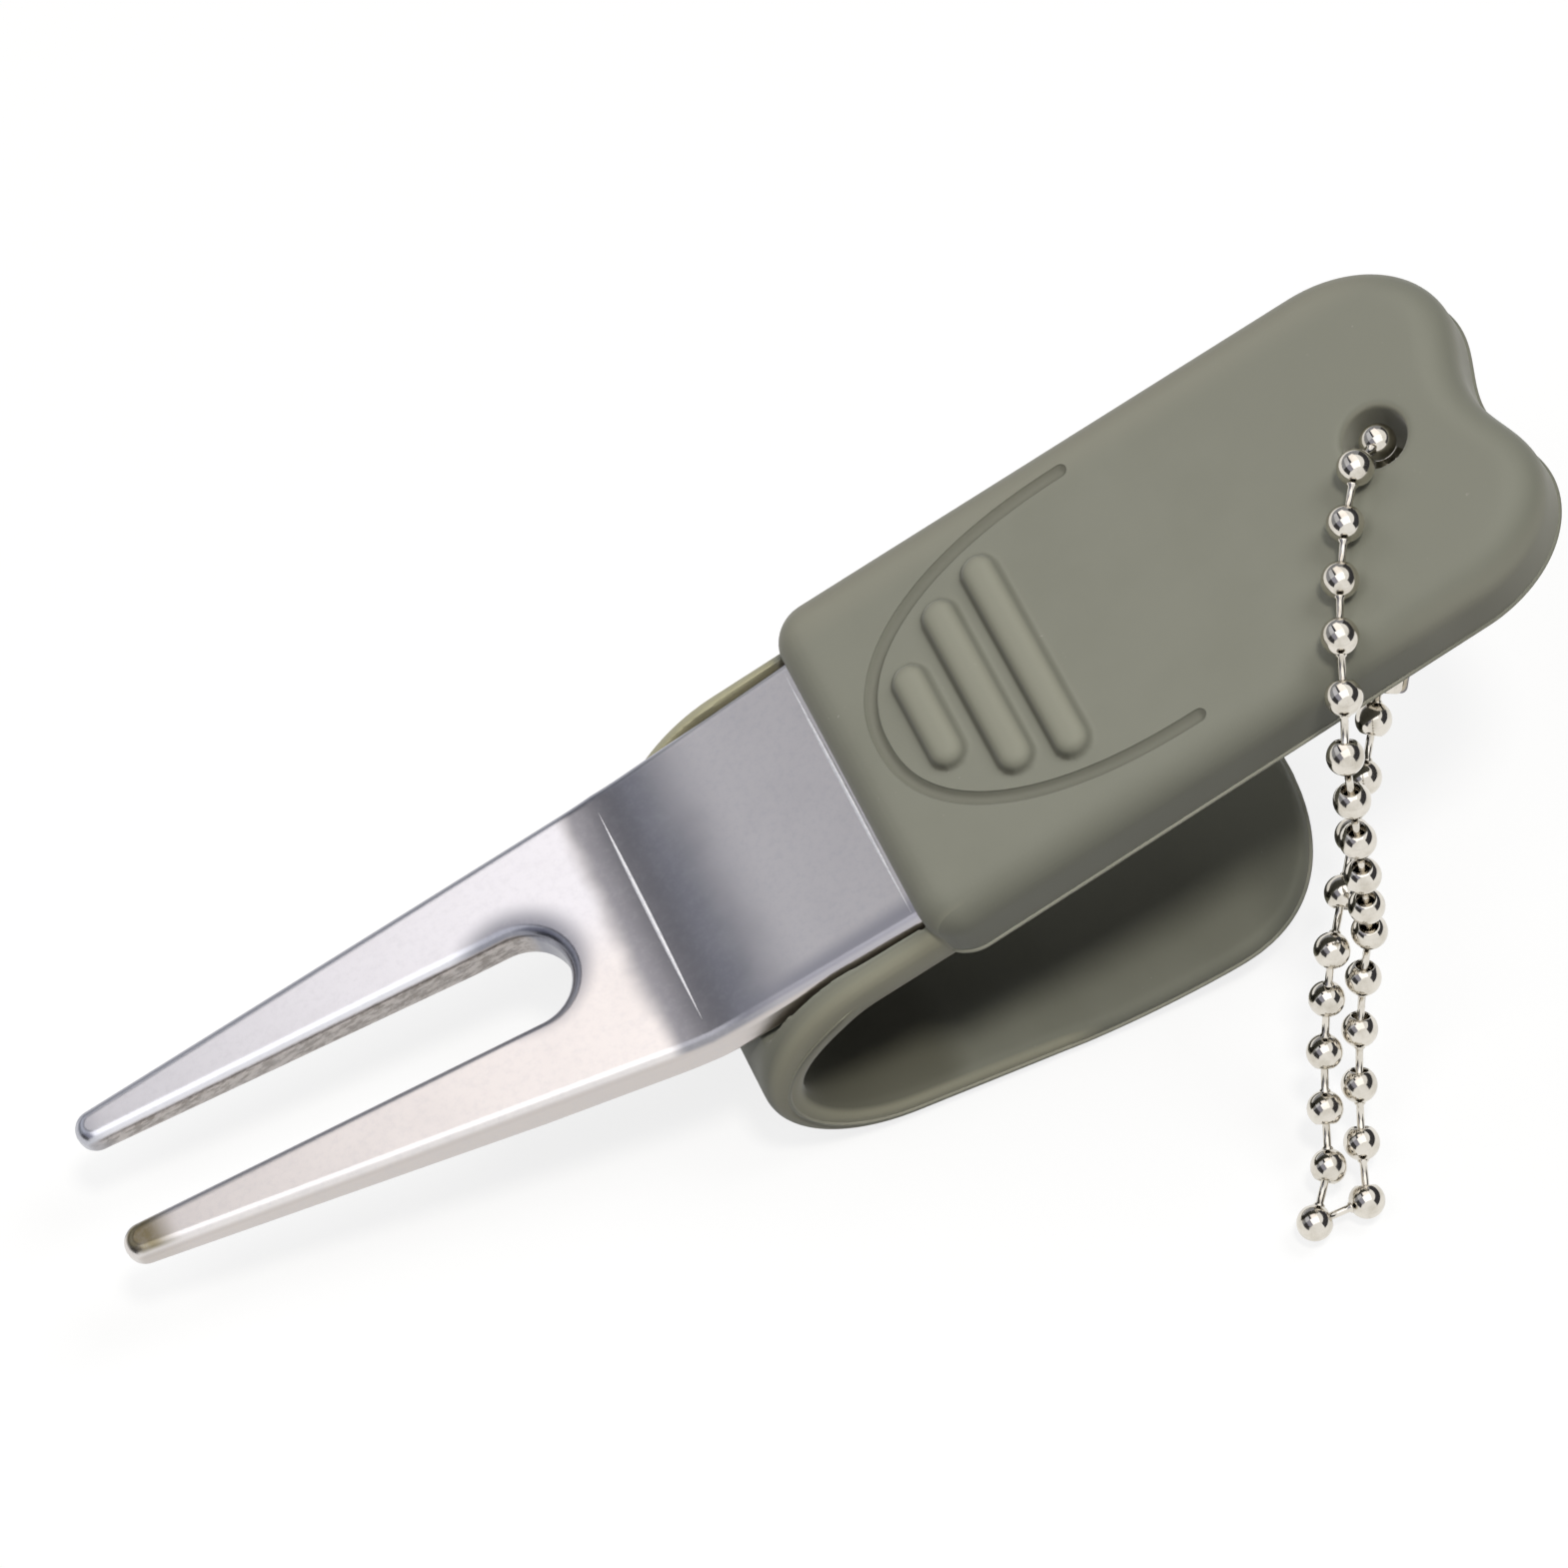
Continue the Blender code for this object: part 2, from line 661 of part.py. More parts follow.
# the loop in order: up through the hole, over the face, down the right and back up the left
loop = [("chain_mid", mid_bead)]
loop += [(f"chain_front_{i:02d}", place) for i, place in enumerate(front, 1)]
loop += [(f"chain_right_{i:02d}", place) for i, place in enumerate(right_row, 1)]
left_names = [(f"chain_left_{i:02d}", place) for i, place in enumerate(left_row, 1)]
rear_names = [(f"chain_rear_{i:02d}", place) for i, place in enumerate(rear, 1)]
loop += list(reversed(left_names)) + list(reversed(rear_names))
end_name = f"chain_rear_{CLASP_AT + 1:02d}"
for i, (name, place) in enumerate(loop):
    ahead = loop[(i + 1) % len(loop)][1]
    link(name, place, loop[i - 1][1], None if name == end_name else ahead)


# chain: the rolled clasp that holds the two end beads
def clasp_profile():
    inner = BEAD_RADIUS + CLEARANCE
    outer = inner + CLASP_WALL
    half = BEAD_PITCH / 2 + BEAD_RADIUS + CLEARANCE
    end = half + CLASP_WALL
    turned = 0.45 * MM
    return [
        (CLASP_LIP, end),
        (outer - turned, end),
        (outer, end - turned),
        (outer, -end + turned),
        (outer - turned, -end),
        (CLASP_LIP, -end),
        (CLASP_LIP, -half),
        (inner - turned * 0.5, -half),
        (inner, -half + turned * 0.5),
        (inner, half - turned * 0.5),
        (inner - turned * 0.5, half),
        (CLASP_LIP, half),
    ]


clasp_from = rear[CLASP_AT - 1]
clasp_to = rear[CLASP_AT]
clasp_line = clasp_to - clasp_from
clasp = part("chain_clasp", profile_mesh("clasp", clasp_profile(), closed=True), NICKEL)
turn(clasp, CLASP_STEPS)
aim(clasp, (clasp_from + clasp_to) / 2, clasp_line)
seam_length = BEAD_PITCH + 4 * BEAD_RADIUS
seam_mesh = plate(
    "clasp_seam",
    [
        [
            (0.0, -CLASP_SEAM / 2),
            (3 * BEAD_RADIUS, -CLASP_SEAM / 2),
            (3 * BEAD_RADIUS, CLASP_SEAM / 2),
            (0.0, CLASP_SEAM / 2),
        ]
    ],
    -seam_length / 2,
    seam_length / 2,
)
seam = helper("clasp_seam", seam_mesh)
aim(seam, (clasp_from + clasp_to) / 2, clasp_line)
combine(clasp, seam, "DIFFERENCE")


# stands the tool on the flat of its clip, with the middle of its footprint at the origin
bpy.context.view_layer.update()
tilt = Matrix.Rotation(-CLIP_ANGLE, 4, "Y")
depsgraph = bpy.context.evaluated_depsgraph_get()
corners = []
for piece in PARTS.objects:
    solid = piece.evaluated_get(depsgraph).to_mesh()
    corners += [tilt @ piece.matrix_world @ vert.co for vert in solid.vertices]
low = Vector([min(co[axis] for co in corners) for axis in range(3)])
high = Vector([max(co[axis] for co in corners) for axis in range(3)])
home = Vector(((low.x + high.x) / 2, (low.y + high.y) / 2, low.z))
stand = Matrix.Translation(-home) @ tilt
for piece in list(PARTS.objects) + list(HELPERS.objects):
    piece.matrix_world = stand @ piece.matrix_world
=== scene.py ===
"""Looks of the divot repair tool: a rubber grip, a satin steel fork and a nickel bead chain.

Pieces are drawn in the tool's own frame: X runs to the tail, Y to the far side and Z out of the handle's
face. The chain's swing joint says where that frame stands in the world.
"""
import json
import math

import bmesh
import bpy
import numpy as np
from mathutils import Matrix, Vector


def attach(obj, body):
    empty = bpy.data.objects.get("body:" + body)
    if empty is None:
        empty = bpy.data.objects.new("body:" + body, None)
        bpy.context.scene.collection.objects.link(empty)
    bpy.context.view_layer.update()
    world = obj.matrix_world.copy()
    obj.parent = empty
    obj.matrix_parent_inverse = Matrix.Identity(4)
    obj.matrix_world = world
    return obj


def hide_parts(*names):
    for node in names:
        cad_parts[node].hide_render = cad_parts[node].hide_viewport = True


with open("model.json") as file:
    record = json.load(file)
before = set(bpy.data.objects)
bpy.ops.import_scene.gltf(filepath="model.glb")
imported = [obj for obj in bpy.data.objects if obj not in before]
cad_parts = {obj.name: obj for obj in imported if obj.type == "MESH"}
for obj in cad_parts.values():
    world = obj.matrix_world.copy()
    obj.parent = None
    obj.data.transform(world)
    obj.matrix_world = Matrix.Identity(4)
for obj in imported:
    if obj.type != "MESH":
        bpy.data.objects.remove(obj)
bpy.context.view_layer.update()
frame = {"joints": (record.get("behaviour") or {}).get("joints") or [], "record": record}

MM = 0.001

# fork sizes
FORK_THICK = 3.2 * MM
FORK_TIP_THICK = 2.1 * MM
FORK_MOUTH_HALF = 10.7 * MM
FORK_BEND_HALF = 10.15 * MM
FORK_BEND_X = -15.2 * MM
FORK_BEND_ANGLE = math.radians(12.6)
FORK_BEND_RADIUS = 24.0 * MM
TINE_LENGTH = 39.1 * MM
TINE_TAPER_START = 11.8 * MM
TINE_TIP_OUTER = 5.75 * MM
TINE_TIP_FROM = math.radians(97.0)
SLOT_HALF = 3.18 * MM
SLOT_START = 6.0 * MM
FORK_EDGE = 0.85 * MM
TANG_HALF = 8.0 * MM
TANG_END = 22.0 * MM
SHOULDER_X = 5.0 * MM
POCKET_GAP = 0.3 * MM
POCKET_PAST_BEND = 3.0 * MM
CREASE_HALF = 8.4 * MM
LINE_WIDTH = 0.3 * MM
LINE_PROUD = 0.06 * MM
LINE_TAPER = 2.2
LINE_BACK = 0.24 * MM
LINE_LEAST = 0.04

# handle sizes
HANDLE_HALF = 13.15 * MM
HANDLE_TAIL_HALF = 12.75 * MM
HANDLE_FACE = 2.23 * MM
HANDLE_BACK = -5.1 * MM
HANDLE_CORNER = 2.75 * MM
HANDLE_EDGE = 2.5 * MM
TAIL_START = 39.5 * MM
TAIL_LENGTH = 47.7 * MM
TAIL_LOBE_Y = 6.1 * MM
TAIL_NOTCH = 1.4 * MM
NOTCH_FROM = 0.94
RIDGE_WIDTH = 0.3 * MM
RIDGE_PROUD = 0.15 * MM
RIDGE_SINK = 0.2 * MM
RIDGE_FADE = 7
RIDGE_LEAST = 0.1
CLIP_RIDGE_FROM = 2
RIDGE_SECTION = (
    (-RIDGE_SINK, -0.6),
    (0.0, -0.5),
    (RIDGE_PROUD * 0.7, -0.28),
    (RIDGE_PROUD, 0.0),
    (RIDGE_PROUD * 0.7, 0.28),
    (0.0, 0.5),
    (-RIDGE_SINK, 0.6),
)
PARTING_HEIGHT = -2.9 * MM
BAR_X = (7.0 * MM, 10.65 * MM, 14.2 * MM)
BAR_HALF = (2.8 * MM, 5.65 * MM, 6.85 * MM)
BAR_WIDTH = 2.4 * MM
BAR_HEIGHT = 1.0 * MM
BAR_EDGE = 0.95 * MM
BAR_ROOT = 1.1 * MM
GROOVE_RADIUS = 0.5 * MM
GROOVE_DEPTH = 0.38 * MM
GROOVE_FRONT = 3.5 * MM
GROOVE_END = 21.8 * MM
GROOVE_HALF = 10.1 * MM
GROOVE_SQUARENESS = 2.25
HOLE_X = 39.83 * MM
HOLE_RADIUS = 2.1 * MM
HOLE_LIP = 0.45 * MM
CUT_OVER = 0.5 * MM

# clip sizes
CLIP_HALF = 12.1 * MM
CLIP_ROOT_X = 5.0 * MM
CLIP_ROOT_TOP = -0.1 * MM
CLIP_ROOT_THICK = 4.8 * MM
CURL_X = -5.3 * MM
CURL_RADIUS = 10.5 * MM
CURL_Z = CLIP_ROOT_TOP - CURL_RADIUS
CLIP_ANGLE = math.radians(22.0)
CURL_THIN_FROM = math.radians(112.0)
CURL_THIN_TO = math.radians(178.0)
CURL_THICK = 2.5 * MM
TONGUE_FLAT = 10.5 * MM
TONGUE_ARC_RADIUS = 45.0 * MM
TONGUE_END_X = 22.6 * MM
TONGUE_ROUND_X = 12.5 * MM
TONGUE_THICK = 2.1 * MM
TONGUE_SQUARENESS = 2.5
TONGUE_FIRST_STEP = 0.04
TONGUE_CROWDING = 1.7
TONGUE_STOP = 0.998
CLIP_CORNER_SHARE = 0.4
CLIP_CORNER_LIMIT = 0.9

# chain sizes
CLEARANCE = 0.3 * MM
BEAD_RADIUS = 1.2 * MM
BEAD_WALL = 0.24 * MM
BEAD_PITCH = 3.75 * MM
SOCKET_RADIUS = 0.62 * MM
WIRE_RADIUS = 0.25 * MM
WIRE_HEAD = 0.70 * MM
WIRE_SINK = 0.16 * MM
COLLAR_SHARE = 1.5
COLLAR_TOP = 0.14 * MM
COLLAR_EDGE = 0.02 * MM
RIM_ROLL = 0.04 * MM
RIM_TUCK = 0.03 * MM
RIM_TURN = math.radians(4.0)
BEAD_TOP = math.radians(84.0)
BEAD_INNER_TOP = math.radians(70.0)
WIRE_HEAD_TOP = math.radians(75.0)
MOUTH_SINK = 0.98 * MM
STRAND_ANGLES = (42.0, 38.0, 33.0, 28.0, 29.0, 38.0)
EDGE_DIPS = (16.0, 34.0)
ROW_GAP = 0.28 * MM
ROW_STAGGER = 1.35 * MM
ROW_COUNT = 6
ROW_ACROSS = (0.81, -0.26, -0.48)
ROW_FIRST_WAY = (-1.65, -1.32, -3.16)
ROW_LAST_WAY = (-1.91, -3.05, -0.92)
FRONT_DROP_LINKS = 5
FRONT_TAUT = 0.9925
REAR_DROP_LINKS = 8
REAR_TAUT = 0.9916
LOOP_LEAN = math.radians(-8.25)
FRONT_BOW = (-0.3, -1.0, 0.0)
MOST_BOW = 12 * MM
CLASP_WALL = 0.3 * MM
CLASP_LIP = 0.8 * MM
CLASP_SEAM = 0.9 * MM
CLASP_ROUND = 0.45 * MM
CLASP_AT = 3

# fineness of the visual meshes
REMESH_VOXEL = 0.18 * MM
KEPT_FACES = 0.34
SMOOTH_SHARE = 0.5
SMOOTH_ROUNDS = 2
EDGE_ANGLE = math.radians(35.0)
GRIP_SHARP_ANGLE = math.radians(42.0)
CLASP_SHARP_ANGLE = math.radians(40.0)
FORK_ROUND_STEPS = 6
FORK_ARC_STEPS = 28
HANDLE_ROUND_STEPS = 10
CORNER_STEPS = 16
LOBE_STEPS = 28
NOTCH_STEPS = 16
BAR_ROUND_STEPS = 6
BAR_END_STEPS = 19
BEND_CUTS = 17
CURL_STEPS = 48
CLIP_CORNER_STEPS = 7
TONGUE_STEPS = 44
GROOVE_STEPS = 81
GROOVE_SIDES = 16
GROOVE_END_TURNS = (25, 50, 70, 84)
HOLE_STEPS = 48
LIP_STEPS = 6
BEAD_STEPS = 32
BEAD_OUTER_STEPS = 20
BEAD_INNER_STEPS = 12
WIRE_HEAD_STEPS = 10
WIRE_STEPS = 14
CLASP_STEPS = 49
CLASP_ROUND_STEPS = 7
LINE_STEPS = 41
LINE_SIDES = 12
SAME_POINT = 1e-7
ON_LINE = 1e-9
AT_FRONT = 1e-6
HALVINGS = 50

# where the tool's own frame stands, read from the swing joint on the chain hole
swing = next(joint for joint in frame["joints"] if joint["name"] == "chain_swing")
TILT = Matrix.Rotation(-CLIP_ANGLE, 4, "Y")
front_mouth = Vector((HOLE_X, 0, HANDLE_FACE - MOUTH_SINK))
mid_bead = front_mouth - Vector((0, 0, BEAD_PITCH))
HOME = Matrix.Translation(Vector(swing["pos_m"]) - TILT @ mid_bead) @ TILT


# mesh helpers
def linked(name, data):
    made = bpy.data.objects.new(name, data)
    bpy.context.scene.collection.objects.link(made)
    return made


def arc(center, radius, start, end, count):
    turns = np.linspace(start, end, count)
    return [(center[0] + radius * math.cos(a), center[1] + radius * math.sin(a)) for a in turns]


def mirrored(half):
    """Closes a half outline over the middle line."""
    return half + [(x, -y) for x, y in reversed(half) if y > ON_LINE]


def outward(work, name):
    """Turns a working mesh's faces outward and makes it a mesh."""
    bmesh.ops.recalc_face_normals(work, faces=work.faces)
    mesh = bpy.data.meshes.new(name)
    work.to_mesh(mesh)
    work.free()
    return mesh


def plate(name, loop, low, high):
    """A flat outline extruded from low to high."""
    work = bmesh.new()
    bottom = [work.verts.new((x, y, low)) for x, y in loop]
    top = [work.verts.new((x, y, high)) for x, y in loop]
    work.faces.new(bottom)
    work.faces.new(top)
    for i in range(len(loop)):
        j = (i + 1) % len(loop)
        work.faces.new((bottom[i], bottom[j], top[j], top[i]))
    return outward(work, name)


def loft(name, rings):
    """Skins equal rings and caps both ends."""
    work = bmesh.new()
    made = [[work.verts.new(co) for co in ring] for ring in rings]
    count = len(made[0])
    for near, far in zip(made, made[1:]):
        for i in range(count):
            j = (i + 1) % count
            work.faces.new((near[i], near[j], far[j], far[i]))
    work.faces.new(made[0])
    work.faces.new(made[-1])
    return outward(work, name)


def turned(name, profile, steps, matrix=Matrix.Identity(4)):
    """A profile of radius and height turned once about Z."""
    work = bmesh.new()
    columns = []
    for step in range(steps):
        angle = 2 * math.pi * step / steps
        column = []
        for radius, height in profile:
            co = Vector((radius * math.cos(angle), radius * math.sin(angle), height))
            column.append(work.verts.new(matrix @ co))
        columns.append(column)
    for near, far in zip(columns, columns[1:] + columns[:1]):
        for i in range(len(profile) - 1):
            work.faces.new((near[i], near[i + 1], far[i + 1], far[i]))
    bmesh.ops.remove_doubles(work, verts=work.verts, dist=SAME_POINT)
    return outward(work, name)


def headings(path):
    """The direction along a path at each of its points."""
    padded = [path[0]] + path + [path[-1]]
    return [ahead - behind for behind, ahead in zip(padded, padded[2:])]


def modifier(target, kind, **values):
    made = target.modifiers.new(kind.lower(), kind)
    for key, value in values.items():
        setattr(made, key, value)


def bevel(target, width, segments, **more):
    modifier(
        target,
        "BEVEL",
        width=width,
        segments=segments,
        limit_method="ANGLE",
        angle_limit=EDGE_ANGLE,
        **more,
    )


def combine(target, operand, operation):
    modifier(target, "BOOLEAN", operation=operation, solver="EXACT", object=operand)


def evaluated(target, name):
    """The target's mesh with its modifiers applied."""
    bpy.context.view_layer.update()
    depsgraph = bpy.context.evaluated_depsgraph_get()
    mesh = bpy.data.meshes.new_from_object(target.evaluated_get(depsgraph))
    mesh.name = name
    return mesh


def piece(name, mesh, body, look, nodes=()):
    """A finished visual piece, moved to where the tool stands and tied to its body."""
    mesh.transform(HOME)
    mesh.materials.clear()
    mesh.materials.append(look)
    for face in mesh.polygons:
        face.use_smooth = True
    made = linked(name, mesh)
    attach(made, body)
    if nodes:
        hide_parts(*nodes)
    return made


# material helpers
COLOR_MIX_INPUTS = (0, 6, 7)
COLOR_MIX_OUTPUT = 2
METAL = 1.0


def sheet_of_nodes(name):
    look = bpy.data.materials.new(name)
    look.use_nodes = True
    tree = look.node_tree
    return look, tree, tree.nodes["Principled BSDF"]


def feed(tree, socket, value):
    """Links another node's output to a socket, or sets a plain value on it."""
    if hasattr(value, "is_linked"):
        tree.links.new(value, socket)
    else:
        socket.default_value = value


def fill(tree, made, inputs):
    for key, value in inputs.items():
        feed(tree, made.inputs[key], value)


def node(tree, kind, inputs=None, **settings):
    made = tree.nodes.new(kind)
    for key, value in settings.items():
        setattr(made, key, value)
    fill(tree, made, inputs or {})
    return made


def noise(tree, place, scale, detail, rough=0.55, stretch=None):
    if stretch:
        place = node(tree, "ShaderNodeMapping", {"Vector": place, "Scale": stretch}).outputs[0]
    made = node(
        tree,
        "ShaderNodeTexNoise",
        {"Vector": place, "Scale": scale, "Detail": detail, "Roughness": rough},
    )
    return made.outputs["Fac"]


def ramp(tree, value, low, high, low_to, high_to):
    """Maps a range of a value smoothly on another."""
    made = node(
        tree,
        "ShaderNodeMapRange",
        {"Value": value, "From Min": low, "From Max": high, "To Min": low_to, "To Max": high_to},
        interpolation_type="SMOOTHSTEP",
    )
    return made.outputs[0]


def mix(tree, share, first, second):
    made = node(tree, "ShaderNodeMix", data_type="RGBA")
    share_socket, first_socket, second_socket = (made.inputs[i] for i in COLOR_MIX_INPUTS)
    feed(tree, share_socket, share)
    feed(tree, first_socket, first)
    feed(tree, second_socket, second)
    return made.outputs[COLOR_MIX_OUTPUT]


def math_node(tree, operation, first, second=0.0):
    return node(tree, "ShaderNodeMath", {0: first, 1: second}, operation=operation).outputs[0]


def product(tree, first, *others):
    for other in others:
        first = math_node(tree, "MULTIPLY", first, other)
    return first


def mask(tree, *steps):
    """The product of ramps, each given as a value and its four limits."""
    return product(tree, *(ramp(tree, value, *limits) for value, limits in steps))


def distance(tree, place, point):
    made = node(tree, "ShaderNodeVectorMath", {0: place, 1: point}, operation="DISTANCE")
    return made.outputs["Value"]


def parts_of(tree, vector):
    return tuple(node(tree, "ShaderNodeSeparateXYZ", {"Vector": vector}).outputs)


def facing_parts(tree):
    return parts_of(tree, node(tree, "ShaderNodeTexCoord").outputs["Normal"])


def bump(tree, height, depth, strength, under=None):
    inputs = {"Height": height, "Distance": depth, "Strength": strength}
    if under is not None:
        inputs["Normal"] = under
    return node(tree, "ShaderNodeBump", inputs).outputs[0]


def tool_place(tree):
    """Object coordinates turned back into the tool's own frame."""
    coords = node(tree, "ShaderNodeTexCoord").outputs["Object"]
    back = HOME.inverted()
    made = node(
        tree,
        "ShaderNodeMapping",
        {
            "Vector": coords,
            "Location": back.to_translation(),
            "Rotation": back.to_euler(),
        },
    )
    return made.outputs[0]


# rubber colours
OLIVE = (0.213, 0.215, 0.174, 1)
OLIVE_PALE = (0.23, 0.232, 0.19, 1)
# paler rubber for the parting-line ridges: the paleness is a painted highlight
FLASH_HIGHLIGHT_OLIVE = (0.33, 0.328, 0.268, 1)
FLASH_HIGHLIGHT_PALE = (0.38, 0.375, 0.31, 1)
DUST_COLOR = (0.44, 0.43, 0.38, 1)
# paler bar tops: a painted highlight
BAR_TOP_HIGHLIGHT_COLOR = (0.285, 0.284, 0.226, 1)
TAIL_WALL_COLOR = (0.33, 0.325, 0.265, 1)
# paler far edge of the handle: painted rim light
PAINTED_RIM_LIGHT_COLOR = (0.275, 0.268, 0.215, 1)
# dark at the bars' feet on their fork side: painted shadow
BAR_FOOT_SHADE_COLOR = (0.10, 0.098, 0.075, 1)
# darker down in the groove: painted shade
GROOVE_SHADE_COLOR = (0.13, 0.128, 0.10, 1)
# darker inside the curl: painted shade
CURL_SHADE_COLOR = (0.105, 0.10, 0.07, 1)
# paler sides of the strap: painted light
STRAP_EDGE_LIGHT_COLOR = (0.42, 0.407, 0.31, 1)
# pale far cheek of the strap beside the fork: painted light
FAR_STRAP_LIGHT_COLOR = (0.48, 0.455, 0.295, 1)

# rubber noises, as scale and detail
RUBBER_CLOUD = (140.0, 3.0)
RUBBER_GRAIN = (4200.0, 2.0)
RUBBER_DUST = (2600.0, 1.0)
RUBBER_PATCH = (210.0, 2.0)
RUBBER_SWELL = (420.0, 3.0)

# rubber masks: a value going from the first number to the second gives the third to the fourth
CLOUD_SHARE = (0.3, 0.7, 0.0, 1.0)
CLOUD_ROUGHNESS = (0.3, 0.7, 0.56, 0.64)
DUST_SHARE = (0.72, 0.8, 0.0, 1.0)
PATCH_SHARE = (0.58, 0.7, 0.0, 0.5)
TAIL_SHARE = (30.0 * MM, 38.0 * MM, 0.0, 1.0)
TAIL_WALL_FACING = (0.85, 0.4, 0.0, 0.8)
# height range of the painted highlight on the bar tops
BAR_TOP_HIGHLIGHT_HEIGHT = (HANDLE_FACE + 0.3 * MM, HANDLE_FACE + 0.9 * MM, 0.0, 0.8)
PAINTED_RIM_LIGHT_ACROSS = (HANDLE_HALF - 4.5 * MM, HANDLE_HALF - 1.5 * MM, 0.0, 0.7)
PAINTED_RIM_LIGHT_HEIGHT = (HANDLE_FACE - 2.0 * MM, HANDLE_FACE - 1.0 * MM, 0.0, 1.0)
FOOT_RISE = (HANDLE_FACE, HANDLE_FACE + 0.1 * MM, 0.0, 1.0)
FOOT_FALL = (HANDLE_FACE + 0.3 * MM, HANDLE_FACE + 0.7 * MM, 1.0, 0.0)
FOOT_FACING = (-0.45, -0.75, 0.25, 0.8)
# where the groove's painted shade lies
GROOVE_SHADE_HEIGHT = (HANDLE_FACE - 0.12 * MM, HANDLE_FACE - 0.32 * MM, 0.0, 0.55)
GROOVE_SHADE_FLOOR = HANDLE_FACE - 1.2 * GROOVE_DEPTH
GROOVE_SHADE_HALF = GROOVE_HALF + GROOVE_RADIUS
GROOVE_SHADE_FRONT = HANDLE_EDGE + 0.4 * MM
GROOVE_SHADE_END = GROOVE_END + 2 * GROOVE_RADIUS
CURL_SHADE_DEPTH = (CURL_RADIUS - CURL_THICK + 0.2 * MM, CURL_RADIUS - 1.2 * MM, 0.6, 0.0)
STRAP_EDGE_FACING = (0.45, 0.9, 0.0, 0.9)
STRAP_EDGE_ALONG = (4.0 * MM, 1.0 * MM, 0.0, 1.0)
STRAP_EDGE_HALF = CLIP_HALF + 0.1 * MM
FAR_STRAP_ACROSS = (9.4 * MM, 10.6 * MM, 0.0, 0.85)
FAR_STRAP_ALONG = (-0.2 * MM, -1.0 * MM, 0.0, 1.0)
FAR_STRAP_HEIGHT = (CURL_Z, CURL_Z + 4.0 * MM, 0.0, 1.0)

# rubber relief and shine
GRAIN_DEPTH = 0.02 * MM
GRAIN_STRENGTH = 0.25
SWELL_DEPTH = 0.06 * MM
SWELL_STRENGTH = 0.12
RUBBER_SHINE = {"Specular IOR Level": 0.45, "Sheen Weight": 0.3, "Sheen Roughness": 0.35}


